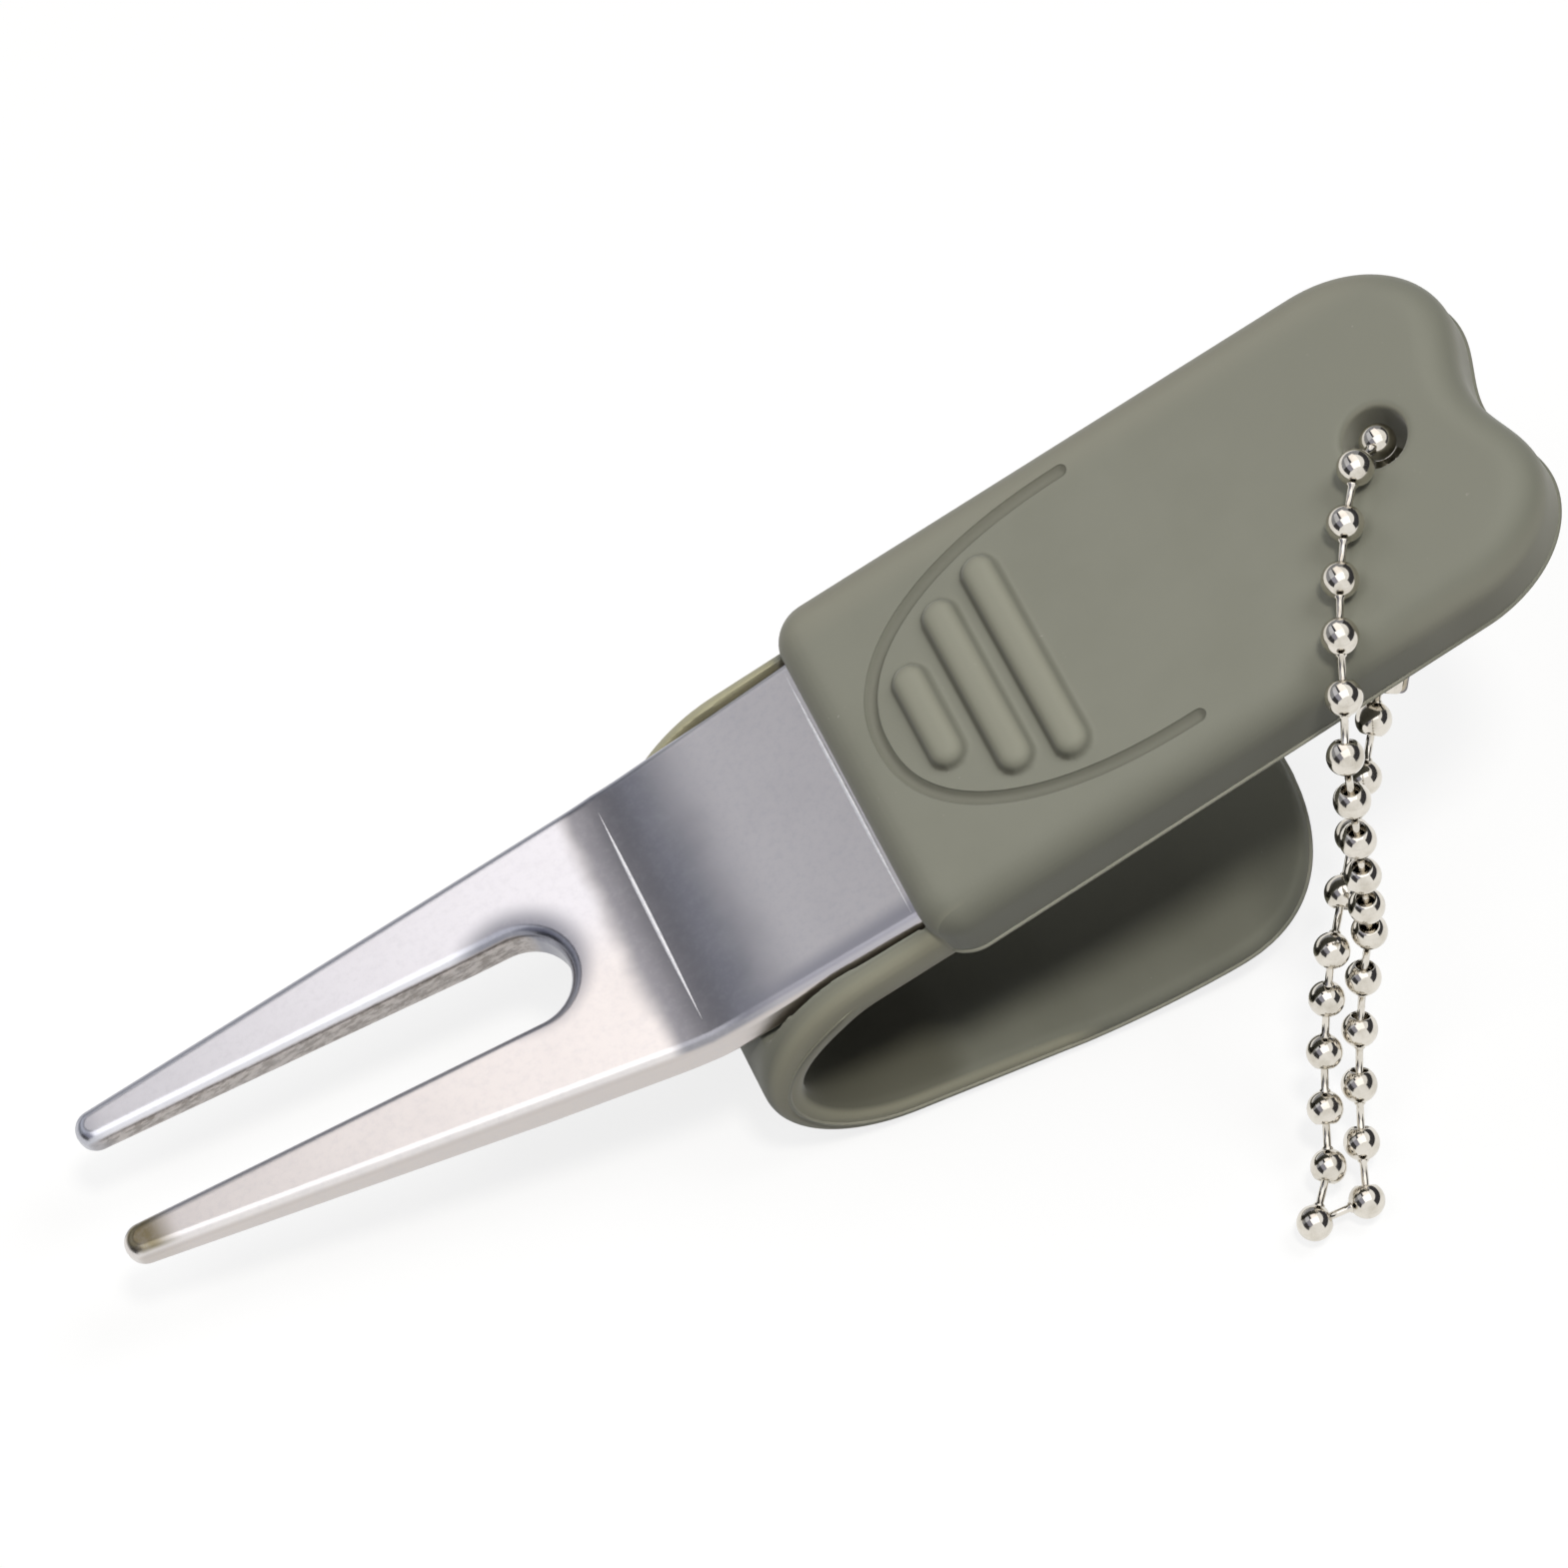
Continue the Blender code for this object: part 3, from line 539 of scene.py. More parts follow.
def rubber_look(name, dark, light):
    """Matte rubber with dust flecks and paler side walls at the tail; paler bar tops, far rim, strap sides
    and far cheek are painted highlights, and the darker groove, bar feet and curl are painted shade.
    """
    look, tree, shader = sheet_of_nodes(name)
    place = tool_place(tree)
    along, across, height = parts_of(tree, place)
    facing_x, facing_y, facing_z = facing_parts(tree)
    from_middle = math_node(tree, "ABSOLUTE", across)
    cloud = noise(tree, place, *RUBBER_CLOUD)
    dust = noise(tree, place, *RUBBER_DUST)
    patch = noise(tree, place, *RUBBER_PATCH)
    color = mix(tree, ramp(tree, cloud, *CLOUD_SHARE), dark, light)
    fleck = mask(tree, (dust, DUST_SHARE), (patch, PATCH_SHARE))
    tail_wall = mask(tree, (along, TAIL_SHARE), (facing_z, TAIL_WALL_FACING))
    # the handle's far rounded edge paler: painted rim light
    painted_rim_light = mask(tree, (across, PAINTED_RIM_LIGHT_ACROSS), (height, PAINTED_RIM_LIGHT_HEIGHT))
    # dark at the bars' feet on their fork side: painted shadow
    bar_foot_shade = mask(tree, (height, FOOT_RISE), (height, FOOT_FALL), (facing_x, FOOT_FACING))
    # darker down in the groove: painted shade
    groove_shade = product(
        tree,
        math_node(tree, "LESS_THAN", from_middle, GROOVE_SHADE_HALF),
        math_node(tree, "LESS_THAN", along, GROOVE_SHADE_END),
        ramp(tree, height, *GROOVE_SHADE_HEIGHT),
        math_node(tree, "GREATER_THAN", height, GROOVE_SHADE_FLOOR),
        math_node(tree, "GREATER_THAN", along, GROOVE_SHADE_FRONT),
    )
    side_on = node(tree, "ShaderNodeCombineXYZ", {"X": along, "Z": height}).outputs[0]
    # darker inside the curl: painted shade
    curl_shade = ramp(tree, distance(tree, side_on, (CURL_X, 0.0, CURL_Z)), *CURL_SHADE_DEPTH)
    # paler sides of the strap: painted light
    strap_edge_light = product(
        tree,
        ramp(tree, math_node(tree, "ABSOLUTE", facing_y), *STRAP_EDGE_FACING),
        math_node(tree, "LESS_THAN", from_middle, STRAP_EDGE_HALF),
        ramp(tree, along, *STRAP_EDGE_ALONG),
    )
    # pale far cheek of the strap beside the fork: painted light
    far_strap_light = mask(
        tree,
        (across, FAR_STRAP_ACROSS),
        (along, FAR_STRAP_ALONG),
        (height, FAR_STRAP_HEIGHT),
    )
    for share, tint in (
        (ramp(tree, along, *TAIL_SHARE), OLIVE),
        (fleck, DUST_COLOR),
        # paler bar tops: a painted highlight
        (ramp(tree, height, *BAR_TOP_HIGHLIGHT_HEIGHT), BAR_TOP_HIGHLIGHT_COLOR),
        (tail_wall, TAIL_WALL_COLOR),
        # painted rim light on the handle's far edge
        (painted_rim_light, PAINTED_RIM_LIGHT_COLOR),
        # painted shadow at the bars' feet
        (bar_foot_shade, BAR_FOOT_SHADE_COLOR),
        # painted shade in the groove
        (groove_shade, GROOVE_SHADE_COLOR),
        # painted shade inside the curl
        (curl_shade, CURL_SHADE_COLOR),
        # painted light on the strap's sides
        (strap_edge_light, STRAP_EDGE_LIGHT_COLOR),
        # painted light on the strap's far cheek
        (far_strap_light, FAR_STRAP_LIGHT_COLOR),
    ):
        color = mix(tree, share, color, tint)
    grain = bump(tree, noise(tree, place, *RUBBER_GRAIN), GRAIN_DEPTH, GRAIN_STRENGTH)
    swell = bump(tree, noise(tree, place, *RUBBER_SWELL), SWELL_DEPTH, SWELL_STRENGTH, grain)
    rough = ramp(tree, cloud, *CLOUD_ROUGHNESS)
    fill(tree, shader, {"Base Color": color, "Roughness": rough, "Normal": swell, **RUBBER_SHINE})
    return look


# steel colours
TINE_WARM = (0.80, 0.765, 0.75, 1)
TINE_COOL = (0.765, 0.765, 0.805, 1)
# bluish dark band over the bend: painted reflection
BEND_REFLECTION_COLOR = (0.15, 0.158, 0.195, 1)
# darker along the tang's near edge: painted reflection of the rounded edge
NEAR_EDGE_REFLECTION_COLOR = (0.25, 0.255, 0.32, 1)
HALO_COLOR = (0.17, 0.175, 0.215, 1)
# steel turned to the far side darker: painted reflection
FAR_EDGE_REFLECTION_COLOR = (0.28, 0.29, 0.34, 1)
WALL_COLOR = (0.60, 0.555, 0.53, 1)
SAWN_COLOR = (0.25, 0.225, 0.205, 1)
STAIN_COLOR = (0.215, 0.178, 0.092, 1)
# darker and bluer towards the far tine's tip
FAR_TIP_DARK_COLOR = (0.30, 0.315, 0.37, 1)
STEEL_CLOUD_COLOR = (0.52, 0.50, 0.52, 1)
MOTTLE_COLOR = (0.50, 0.50, 0.54, 1)

# steel noises, as scale, detail, roughness and stretch
STEEL_CLOUD = (260.0, 3.0)
STEEL_GRIT = (9000.0, 3.0, 0.65)
STEEL_SAW = (2600.0, 4.0, 0.7, (0.45, 1.0, 1.0))
STEEL_MOTTLE = (1900.0, 4.0, 0.7)

# steel masks, written as the rubber's are
BAND_WOBBLE = 1.6 * MM
BAND_STARTS = (-18.5 * MM, -16.7 * MM)
BAND_ENDS = (-13.0 * MM, -7.0 * MM)
BAND_TINE_SIDE = (*BAND_STARTS, 0.0, 1.0)
BAND_TANG_SIDE = (*BAND_ENDS, 0.78, 0.0)
COOL_ACROSS = (-SLOT_HALF, SLOT_HALF, 0.0, 1.0)
COOL_ALONG = (*BAND_STARTS, 1.0, 0.0)
NEAR_EDGE_ACROSS = (1.9 * MM - FORK_BEND_HALF, 0.5 * MM - FORK_BEND_HALF, 0.0, 0.6)
NEAR_EDGE_ALONG = (FORK_BEND_X, BAND_ENDS[1], 0.0, 1.0)
HALO_MIDDLE = (FORK_BEND_X - SLOT_START - SLOT_HALF + 0.5 * MM, 0.5 * MM, 0.0)
HALO_REACH = (SLOT_HALF, SLOT_HALF + 2.1 * MM, 0.86, 0.0)
FAR_EDGE_FACING = (0.3, 0.5, 0.0, 0.85)
WALL_FACING = (0.72, 0.95, 0.0, 1.0)
SAWN_SHARE = (0.38, 0.6, 0.95, 0.35)
SAWN_HALF = SLOT_HALF + FORK_EDGE
STAIN_ALONG = (-49.4 * MM, -51.8 * MM, 0.0, 1.0)
STAIN_CLOUD = (0.3, 0.6, 0.84, 1.0)
STAIN_ACROSS = (-3.0 * MM, 0.0, 1.0, 0.0)
STAIN_FACING = (0.55, 0.85, 0.15, 1.0)
FAR_TIP_ALONG = (-51.0 * MM, -53.2 * MM, 0.0, 0.55)
FAR_TIP_ACROSS = (0.0, 3.0 * MM, 0.0, 1.0)
STEEL_CLOUD_SHARE = (0.4, 0.75, 0.0, 0.12)
MOTTLE_SHARE = (0.42, 0.72, 0.0, 0.16)
STEEL_ROUGHNESS = (0.3, 0.7, 0.276, 0.280)
SAW_DEPTH = 0.02 * MM
SAW_STRENGTH = 0.5


def steel_look():
    """Satin steel, saw-marked in the slot, stained at the near tip and darker round the slot's end and
    towards the far tine's tip; the bluish dark band over the bend and the darker near tang edge and
    far-facing edges are painted reflections.
    """
    look, tree, shader = sheet_of_nodes("satin_steel_brushed")
    place = tool_place(tree)
    along, across, _ = parts_of(tree, place)
    _, facing_y, facing_z = facing_parts(tree)
    cloud = noise(tree, place, *STEEL_CLOUD)
    saw = noise(tree, place, *STEEL_SAW)
    mottle = noise(tree, place, *STEEL_MOTTLE)
    wobble = product(tree, math_node(tree, "SUBTRACT", cloud, 0.5), BAND_WOBBLE)
    wavy = math_node(tree, "ADD", along, wobble)
    cool = mask(tree, (across, COOL_ACROSS), (wavy, COOL_ALONG))
    # bluish dark band over the bend: painted reflection
    bend_reflection = mask(tree, (wavy, BAND_TINE_SIDE), (wavy, BAND_TANG_SIDE))
    # darker along the tang's near edge: painted reflection
    near_edge_reflection = mask(tree, (across, NEAR_EDGE_ACROSS), (along, NEAR_EDGE_ALONG))
    from_above = node(tree, "ShaderNodeCombineXYZ", {"X": along, "Y": across}).outputs[0]
    halo = ramp(tree, distance(tree, from_above, HALO_MIDDLE), *HALO_REACH)
    wall = ramp(tree, math_node(tree, "ABSOLUTE", facing_y), *WALL_FACING)
    sawn = product(
        tree,
        wall,
        math_node(tree, "LESS_THAN", math_node(tree, "ABSOLUTE", across), SAWN_HALF),
        ramp(tree, saw, *SAWN_SHARE),
    )
    stain = mask(
        tree,
        (wavy, STAIN_ALONG),
        (cloud, STAIN_CLOUD),
        (across, STAIN_ACROSS),
        (facing_z, STAIN_FACING),
    )
    # darker and bluer towards the far tine's tip
    far_tip_dark = mask(tree, (along, FAR_TIP_ALONG), (across, FAR_TIP_ACROSS))
    color = mix(tree, cool, TINE_WARM, TINE_COOL)
    for share, tint in (
        # painted reflection over the bend
        (bend_reflection, BEND_REFLECTION_COLOR),
        # painted reflection along the tang's near edge
        (near_edge_reflection, NEAR_EDGE_REFLECTION_COLOR),
        (halo, HALO_COLOR),
        # steel turned to the far side darker: painted reflection
        (ramp(tree, facing_y, *FAR_EDGE_FACING), FAR_EDGE_REFLECTION_COLOR),
        (wall, WALL_COLOR),
        (sawn, SAWN_COLOR),
        (stain, STAIN_COLOR),
        (far_tip_dark, FAR_TIP_DARK_COLOR),
        (ramp(tree, cloud, *STEEL_CLOUD_SHARE), STEEL_CLOUD_COLOR),
        (ramp(tree, mottle, *MOTTLE_SHARE), MOTTLE_COLOR),
    ):
        color = mix(tree, share, color, tint)
    grit = noise(tree, place, *STEEL_GRIT)
    marks = bump(tree, saw, SAW_DEPTH, product(tree, wall, SAW_STRENGTH))
    rough = ramp(tree, grit, *STEEL_ROUGHNESS)
    fill(tree, shader, {"Base Color": color, "Roughness": rough, "Normal": marks, "Metallic": METAL})
    return look


# burnished lines, whose bright metal is partly a painted highlight, and nickel plate, with values written
# as above
BURNISHED_GRAIN = (2600.0, 3.0)
BURNISHED_SHARE = (0.35, 0.7, 0.0, 1.0)
BURNISHED_ROUGHNESS = (0.3, 0.7, 0.5, 0.62)
# near-white metal for the bright lines: partly a painted highlight
BURNISHED_HIGHLIGHT_BRIGHT = (0.97, 0.965, 0.97, 1)
BURNISHED_HIGHLIGHT_GREY = (0.86, 0.855, 0.87, 1)
NICKEL_CLOUD = (900.0, 3.0)
NICKEL_FINE = (5200.0, 2.0)
NICKEL_SHARE = (0.35, 0.75, 0.0, 1.0)
NICKEL_ROUGHNESS = (0.3, 0.75, 0.08, 0.16)
NICKEL_BRIGHT = (0.75, 0.71, 0.64, 1)
NICKEL_DULL = (0.60, 0.56, 0.485, 1)
NICKEL_DEPTH = 0.004 * MM
NICKEL_STRENGTH = 0.1


def burnished_highlight_look():
    look, tree, shader = sheet_of_nodes("steel_burnished_highlight")
    grain = noise(tree, tool_place(tree), *BURNISHED_GRAIN)
    color = mix(tree, ramp(tree, grain, *BURNISHED_SHARE), BURNISHED_HIGHLIGHT_BRIGHT, BURNISHED_HIGHLIGHT_GREY)
    rough = ramp(tree, grain, *BURNISHED_ROUGHNESS)
    fill(tree, shader, {"Base Color": color, "Roughness": rough, "Metallic": METAL})
    return look


def nickel_look():
    look, tree, shader = sheet_of_nodes("nickel_plate")
    coords = node(tree, "ShaderNodeTexCoord").outputs["Object"]
    cloud = noise(tree, coords, *NICKEL_CLOUD)
    fine = bump(tree, noise(tree, coords, *NICKEL_FINE), NICKEL_DEPTH, NICKEL_STRENGTH)
    color = mix(tree, ramp(tree, cloud, *NICKEL_SHARE), NICKEL_BRIGHT, NICKEL_DULL)
    rough = ramp(tree, cloud, *NICKEL_ROUGHNESS)
    fill(tree, shader, {"Base Color": color, "Roughness": rough, "Normal": fine, "Metallic": METAL})
    return look


RUBBER = rubber_look("olive_rubber_moulded", OLIVE, OLIVE_PALE)
# the ridges' paler rubber is a painted highlight
FLASH_HIGHLIGHT = rubber_look("olive_rubber_flash_highlight", FLASH_HIGHLIGHT_OLIVE, FLASH_HIGHLIGHT_PALE)
STEEL = steel_look()
BURNISHED_HIGHLIGHT = burnished_highlight_look()
NICKEL = nickel_look()


# fork
def fork_half_width(x):
    return FORK_MOUTH_HALF + (FORK_BEND_HALF - FORK_MOUTH_HALF) * x / FORK_BEND_X


def tang_outline():
    return [(TANG_END, TANG_HALF), (SHOULDER_X, TANG_HALF), (SHOULDER_X, fork_half_width(SHOULDER_X))]


def fork_outline():
    """One half from the tang's end round the tine's tip to the slot, then the same mirrored."""
    tip_radius = (TINE_TIP_OUTER - SLOT_HALF) / 2
    tip_center = (FORK_BEND_X - TINE_LENGTH + tip_radius, SLOT_HALF + tip_radius)
    slot_center = (FORK_BEND_X - SLOT_START - SLOT_HALF, 0.0)
    half = tang_outline() + [(FORK_BEND_X, FORK_BEND_HALF)]
    half += arc(tip_center, tip_radius, TINE_TIP_FROM, math.radians(270), FORK_ARC_STEPS)
    half += arc(slot_center, SLOT_HALF, math.radians(90), 0.0, FORK_ARC_STEPS)
    return mirrored(half)


def bent_fork():
    """Cuts the plate across, thins the tines and swings them up round the bend."""
    mesh = plate("fork_plate", fork_outline(), -FORK_THICK, 0.0)
    arc_length = FORK_BEND_RADIUS * FORK_BEND_ANGLE
    start = FORK_BEND_X + arc_length / 2
    cuts = [start - arc_length * share for share in np.linspace(0.0, 1.0, BEND_CUTS)]
    cuts += [FORK_BEND_X - TINE_TAPER_START]
    work = bmesh.new()
    work.from_mesh(mesh)
    for x in cuts:
        everything = list(work.verts) + list(work.edges) + list(work.faces)
        bmesh.ops.bisect_plane(
            work, geom=everything, dist=SAME_POINT, plane_co=(x, 0, 0), plane_no=(1, 0, 0)
        )
    for vert in work.verts:
        run = start - vert.co.x
        if run <= 0:
            continue
        taper = (FORK_BEND_X - vert.co.x - TINE_TAPER_START) / (TINE_LENGTH - TINE_TAPER_START)
        taper = max(0.0, min(1.0, taper))
        depth = vert.co.z * (1 + taper * (FORK_TIP_THICK / FORK_THICK - 1))
        angle = min(run / FORK_BEND_RADIUS, FORK_BEND_ANGLE)
        extra = max(0.0, run - arc_length)
        reach = FORK_BEND_RADIUS - depth
        vert.co.x = start - reach * math.sin(angle) - extra * math.cos(angle)
        vert.co.z = FORK_BEND_RADIUS - reach * math.cos(angle) + extra * math.sin(angle)
    work.to_mesh(mesh)
    work.free()
    return mesh


def make_fork():
    draft = linked("fork_draft", bent_fork())
    draft.data.shade_smooth()
    bevel(draft, FORK_EDGE, FORK_ROUND_STEPS, harden_normals=True)
    mesh = evaluated(draft, "fork_plate")
    bpy.data.objects.remove(draft, do_unlink=True)
    piece("fork_plate", mesh, "tool", STEEL, ["fork"])


def burnished_highlight_line(name, middle, along, out, half):
    """A fine bright line across the plate, tapering to both ends; its bright metal is partly a painted
    highlight.
    """
    rings = []
    for share in np.linspace(-1.0, 1.0, LINE_STEPS):
        place = middle + Vector((0, half * share, 0))
        fade = max(LINE_LEAST, 1 - abs(share) ** LINE_TAPER)
        ring = []
        for turn_by in np.linspace(0, 2 * math.pi, LINE_SIDES + 1)[:-1]:
            side = along * (LINE_WIDTH / 2 * fade * math.cos(turn_by))
            ring.append(place + side + out * (LINE_PROUD * fade * math.sin(turn_by)))
        rings.append(ring)
    # the line's bright metal is partly a painted highlight
    piece(name, loft(name, rings), "tool", BURNISHED_HIGHLIGHT)


def make_lines():
    """The press leaves one line over the bend, whose bright metal is partly a painted highlight; the line
    where the mould shuts off on the steel is a painted highlight.
    """
    half_turn = FORK_BEND_ANGLE / 2
    start = FORK_BEND_X + FORK_BEND_RADIUS * half_turn
    bend = Vector((
        start - FORK_BEND_RADIUS * math.sin(half_turn),
        0,
        FORK_BEND_RADIUS * (1 - math.cos(half_turn)),
    ))
    out = Vector((math.sin(half_turn), 0, math.cos(half_turn)))
    along = Vector((math.cos(half_turn), 0, -math.sin(half_turn)))
    burnished_highlight_line("bend_crease", bend, along, out, CREASE_HALF)
    mouth = Vector((-LINE_BACK, 0, 0))
    mouth_half = FORK_MOUTH_HALF - FORK_EDGE
    # the bright line at the mouth is a painted highlight along the tang's edge
    burnished_highlight_line("mouth_highlight_line", mouth, Vector((1, 0, 0)), Vector((0, 0, 1)), mouth_half)


# grip
def handle_outline():
    """One half from the front corner round the tail's lobe to the notch, then the same mirrored."""
    corner = (HANDLE_CORNER, HANDLE_HALF - HANDLE_CORNER)
    half = arc(corner, HANDLE_CORNER, math.radians(180), math.radians(90), CORNER_STEPS)
    for angle in np.radians(np.linspace(90, 0, LOBE_STEPS)):
        x = TAIL_START + (TAIL_LENGTH - TAIL_START) * math.cos(angle)
        y = TAIL_LOBE_Y + (HANDLE_TAIL_HALF - TAIL_LOBE_Y) * math.sin(angle)
        half.append((x, y))
    for share in np.linspace(NOTCH_FROM, 0.0, NOTCH_STEPS):
        dip = TAIL_NOTCH * (1 + math.cos(math.pi * share)) / 2
        half.append((TAIL_LENGTH - dip, TAIL_LOBE_Y * share))
    return mirrored(half)


def curl_thickness(angle):
    share = (angle - CURL_THIN_FROM) / (CURL_THIN_TO - CURL_THIN_FROM)
    share = max(0.0, min(1.0, share))
    share = share * share * (3 - 2 * share)
    return CLIP_ROOT_THICK + (CURL_THICK - CLIP_ROOT_THICK) * share


def tongue_half_width(x):
    share = max(0.0, (x - TONGUE_ROUND_X) / (TONGUE_END_X - TONGUE_ROUND_X))
    return CLIP_HALF * max(0.0, 1 - share ** TONGUE_SQUARENESS) ** (1 / TONGUE_SQUARENESS)


def clip_stations():
    """Outer point, outward direction, thickness and half width, from the root to the free end."""
    stations = []
    for x in (CLIP_ROOT_X, 0.0, CURL_X * 0.5):
        stations.append(((x, CLIP_ROOT_TOP), (0.0, 1.0), CLIP_ROOT_THICK, CLIP_HALF))
    last = math.radians(270) - CLIP_ANGLE
    for angle in np.linspace(math.radians(90), last, CURL_STEPS):
        away = (math.cos(angle), math.sin(angle))
        outer = (CURL_X + CURL_RADIUS * away[0], CURL_Z + CURL_RADIUS * away[1])
        stations.append((outer, away, curl_thickness(angle), CLIP_HALF))
    start = stations[-1][0]
    along = (math.cos(CLIP_ANGLE), -math.sin(CLIP_ANGLE))
    out = (-math.sin(CLIP_ANGLE), -math.cos(CLIP_ANGLE))
    flat_end = (start[0] + TONGUE_FLAT * along[0], start[1] + TONGUE_FLAT * along[1])
    stations.append((flat_end, out, (CURL_THICK + TONGUE_THICK) / 2, CLIP_HALF))
    pivot = (
        flat_end[0] - TONGUE_ARC_RADIUS * out[0],
        flat_end[1] - TONGUE_ARC_RADIUS * out[1],
    )
    last_turn = CLIP_ANGLE + math.asin((TONGUE_END_X - pivot[0]) / TONGUE_ARC_RADIUS)
    for step in np.linspace(TONGUE_FIRST_STEP, 1.0, TONGUE_STEPS):
        share = TONGUE_STOP * (1 - (1 - step) ** TONGUE_CROWDING)
        lean = CLIP_ANGLE - last_turn * share
        away = (-math.sin(lean), -math.cos(lean))
        outer = (pivot[0] + TONGUE_ARC_RADIUS * away[0], pivot[1] + TONGUE_ARC_RADIUS * away[1])
        stations.append((outer, away, TONGUE_THICK, tongue_half_width(outer[0])))
    return stations


def clip_ring(station):
    """A rounded rectangle across the strap."""
    (x, z), (away_x, away_z), thick, half = station
    radius = min(thick * CLIP_CORNER_SHARE, half * CLIP_CORNER_LIMIT)
    ring = []
    corners = (
        (half - radius, -radius, 0),
        (-half + radius, -radius, 90),
        (-half + radius, -thick + radius, 180),
        (half - radius, -thick + radius, 270),
    )
    for side, depth, begin in corners:
        for angle in np.radians(np.linspace(begin, begin + 90, CLIP_CORNER_STEPS)):
            y = side + radius * math.cos(angle)
            drop = depth + radius * math.sin(angle)
            ring.append((x + away_x * drop, y, z + away_z * drop))
    return ring


def pocket_outline():
    """The tang's own outline with a gap all round, open past the bend."""
    open_end = FORK_BEND_X - POCKET_PAST_BEND
    wider = [(x + POCKET_GAP, y + POCKET_GAP) for x, y in tang_outline()]
    return mirrored(wider + [(open_end, fork_half_width(open_end) + POCKET_GAP)])


def hole_profile():
    """A straight bore that flares into a rolled lip at the face and at the back."""
    wide = HOLE_RADIUS + HOLE_LIP
    points = [(0.0, HANDLE_FACE + CUT_OVER), (wide, HANDLE_FACE + CUT_OVER)]
    lip = []
    for angle in np.radians(np.linspace(0, 90, LIP_STEPS)):
        lip.append((wide - HOLE_LIP * math.sin(angle), HOLE_LIP * (1 - math.cos(angle))))
    points += [(radius, HANDLE_FACE - depth) for radius, depth in lip]
    points += [(radius, HANDLE_BACK + depth) for radius, depth in reversed(lip)]
    points += [(wide, HANDLE_BACK - CUT_OVER), (0.0, HANDLE_BACK - CUT_OVER)]
    return points


def stadium(x, half, radius):
    far = arc((x, half), radius, 0.0, math.pi, BAR_END_STEPS)
    near = arc((x, -half), radius, math.pi, 2 * math.pi, BAR_END_STEPS)
    return far + near


def groove_mesh():
    """A round tube along a squared-off U."""
    height = HANDLE_FACE + GROOVE_RADIUS - GROOVE_DEPTH
    power = 2 / GROOVE_SQUARENESS
    path = []
    for angle in np.linspace(-math.pi / 2, math.pi / 2, GROOVE_STEPS):
        x = GROOVE_END - (GROOVE_END - GROOVE_FRONT) * abs(math.cos(angle)) ** power
        y = math.copysign(GROOVE_HALF * abs(math.sin(angle)) ** power, angle)
        path.append(Vector((x, y, height)))
    first_way = (path[0] - path[1]).normalized()
    last_way = (path[-1] - path[-2]).normalized()
    stops = [(place, GROOVE_RADIUS) for place in path]
    for angle in np.radians(GROOVE_END_TURNS):
        reach = GROOVE_RADIUS * math.sin(angle)
        radius = GROOVE_RADIUS * math.cos(angle)
        stops.insert(0, (path[0] + first_way * reach, radius))
        stops.append((path[-1] + last_way * reach, radius))
    rings = []
    for (place, radius), ahead in zip(stops, headings([place for place, _ in stops])):
        side = Vector((-ahead.y, ahead.x, 0)).normalized()
        ring = []
        for turn_by in np.linspace(0, 2 * math.pi, GROOVE_SIDES + 1)[:-1]:
            spoke = side * math.cos(turn_by) + Vector((0, 0, math.sin(turn_by)))
            ring.append(place + spoke * radius)
        rings.append(ring)
    return loft("groove", rings)


def make_grip():
    """Unites the mouldings, cuts the pocket, hole and groove, and melts the joins into soft fillets."""
    draft = linked("grip_draft", plate("grip_draft", handle_outline(), HANDLE_BACK, HANDLE_FACE))
    bevel(draft, HANDLE_EDGE, HANDLE_ROUND_STEPS)
    operands = [(linked("clip", loft("clip", [clip_ring(s) for s in clip_stations()])), "UNION")]
    for bar_x, bar_half in zip(BAR_X, BAR_HALF):
        loop = stadium(bar_x, bar_half, BAR_WIDTH / 2)
        bar = linked("bar", plate("bar", loop, HANDLE_FACE - BAR_ROOT, HANDLE_FACE + BAR_HEIGHT))
        bevel(bar, BAR_EDGE, BAR_ROUND_STEPS)
        operands.append((bar, "UNION"))
    pocket = plate("pocket", pocket_outline(), -FORK_THICK - POCKET_GAP, POCKET_GAP)
    operands.append((linked("pocket", pocket), "DIFFERENCE"))
    hole = turned("hole", hole_profile(), HOLE_STEPS, Matrix.Translation((HOLE_X, 0, 0)))
    operands.append((linked("hole", hole), "DIFFERENCE"))
    for operand, operation in operands:
        combine(draft, operand, operation)
    voxel = REMESH_VOXEL
    modifier(draft, "REMESH", mode="VOXEL", voxel_size=voxel, use_smooth_shade=True)
    modifier(draft, "SMOOTH", factor=SMOOTH_SHARE, iterations=SMOOTH_ROUNDS)
    modifier(draft, "DECIMATE", decimate_type="COLLAPSE", ratio=KEPT_FACES)
    groove = linked("groove", groove_mesh())
    combine(draft, groove, "DIFFERENCE")
    operands.append((groove, "DIFFERENCE"))
    mesh = evaluated(draft, "grip_moulding")
    mesh.shade_smooth()
    mesh.set_sharp_from_angle(angle=GRIP_SHARP_ANGLE)
    for operand, _ in operands:
        bpy.data.objects.remove(operand, do_unlink=True)
    bpy.data.objects.remove(draft, do_unlink=True)
    piece("grip_moulding", mesh, "tool", RUBBER, ["grip"])


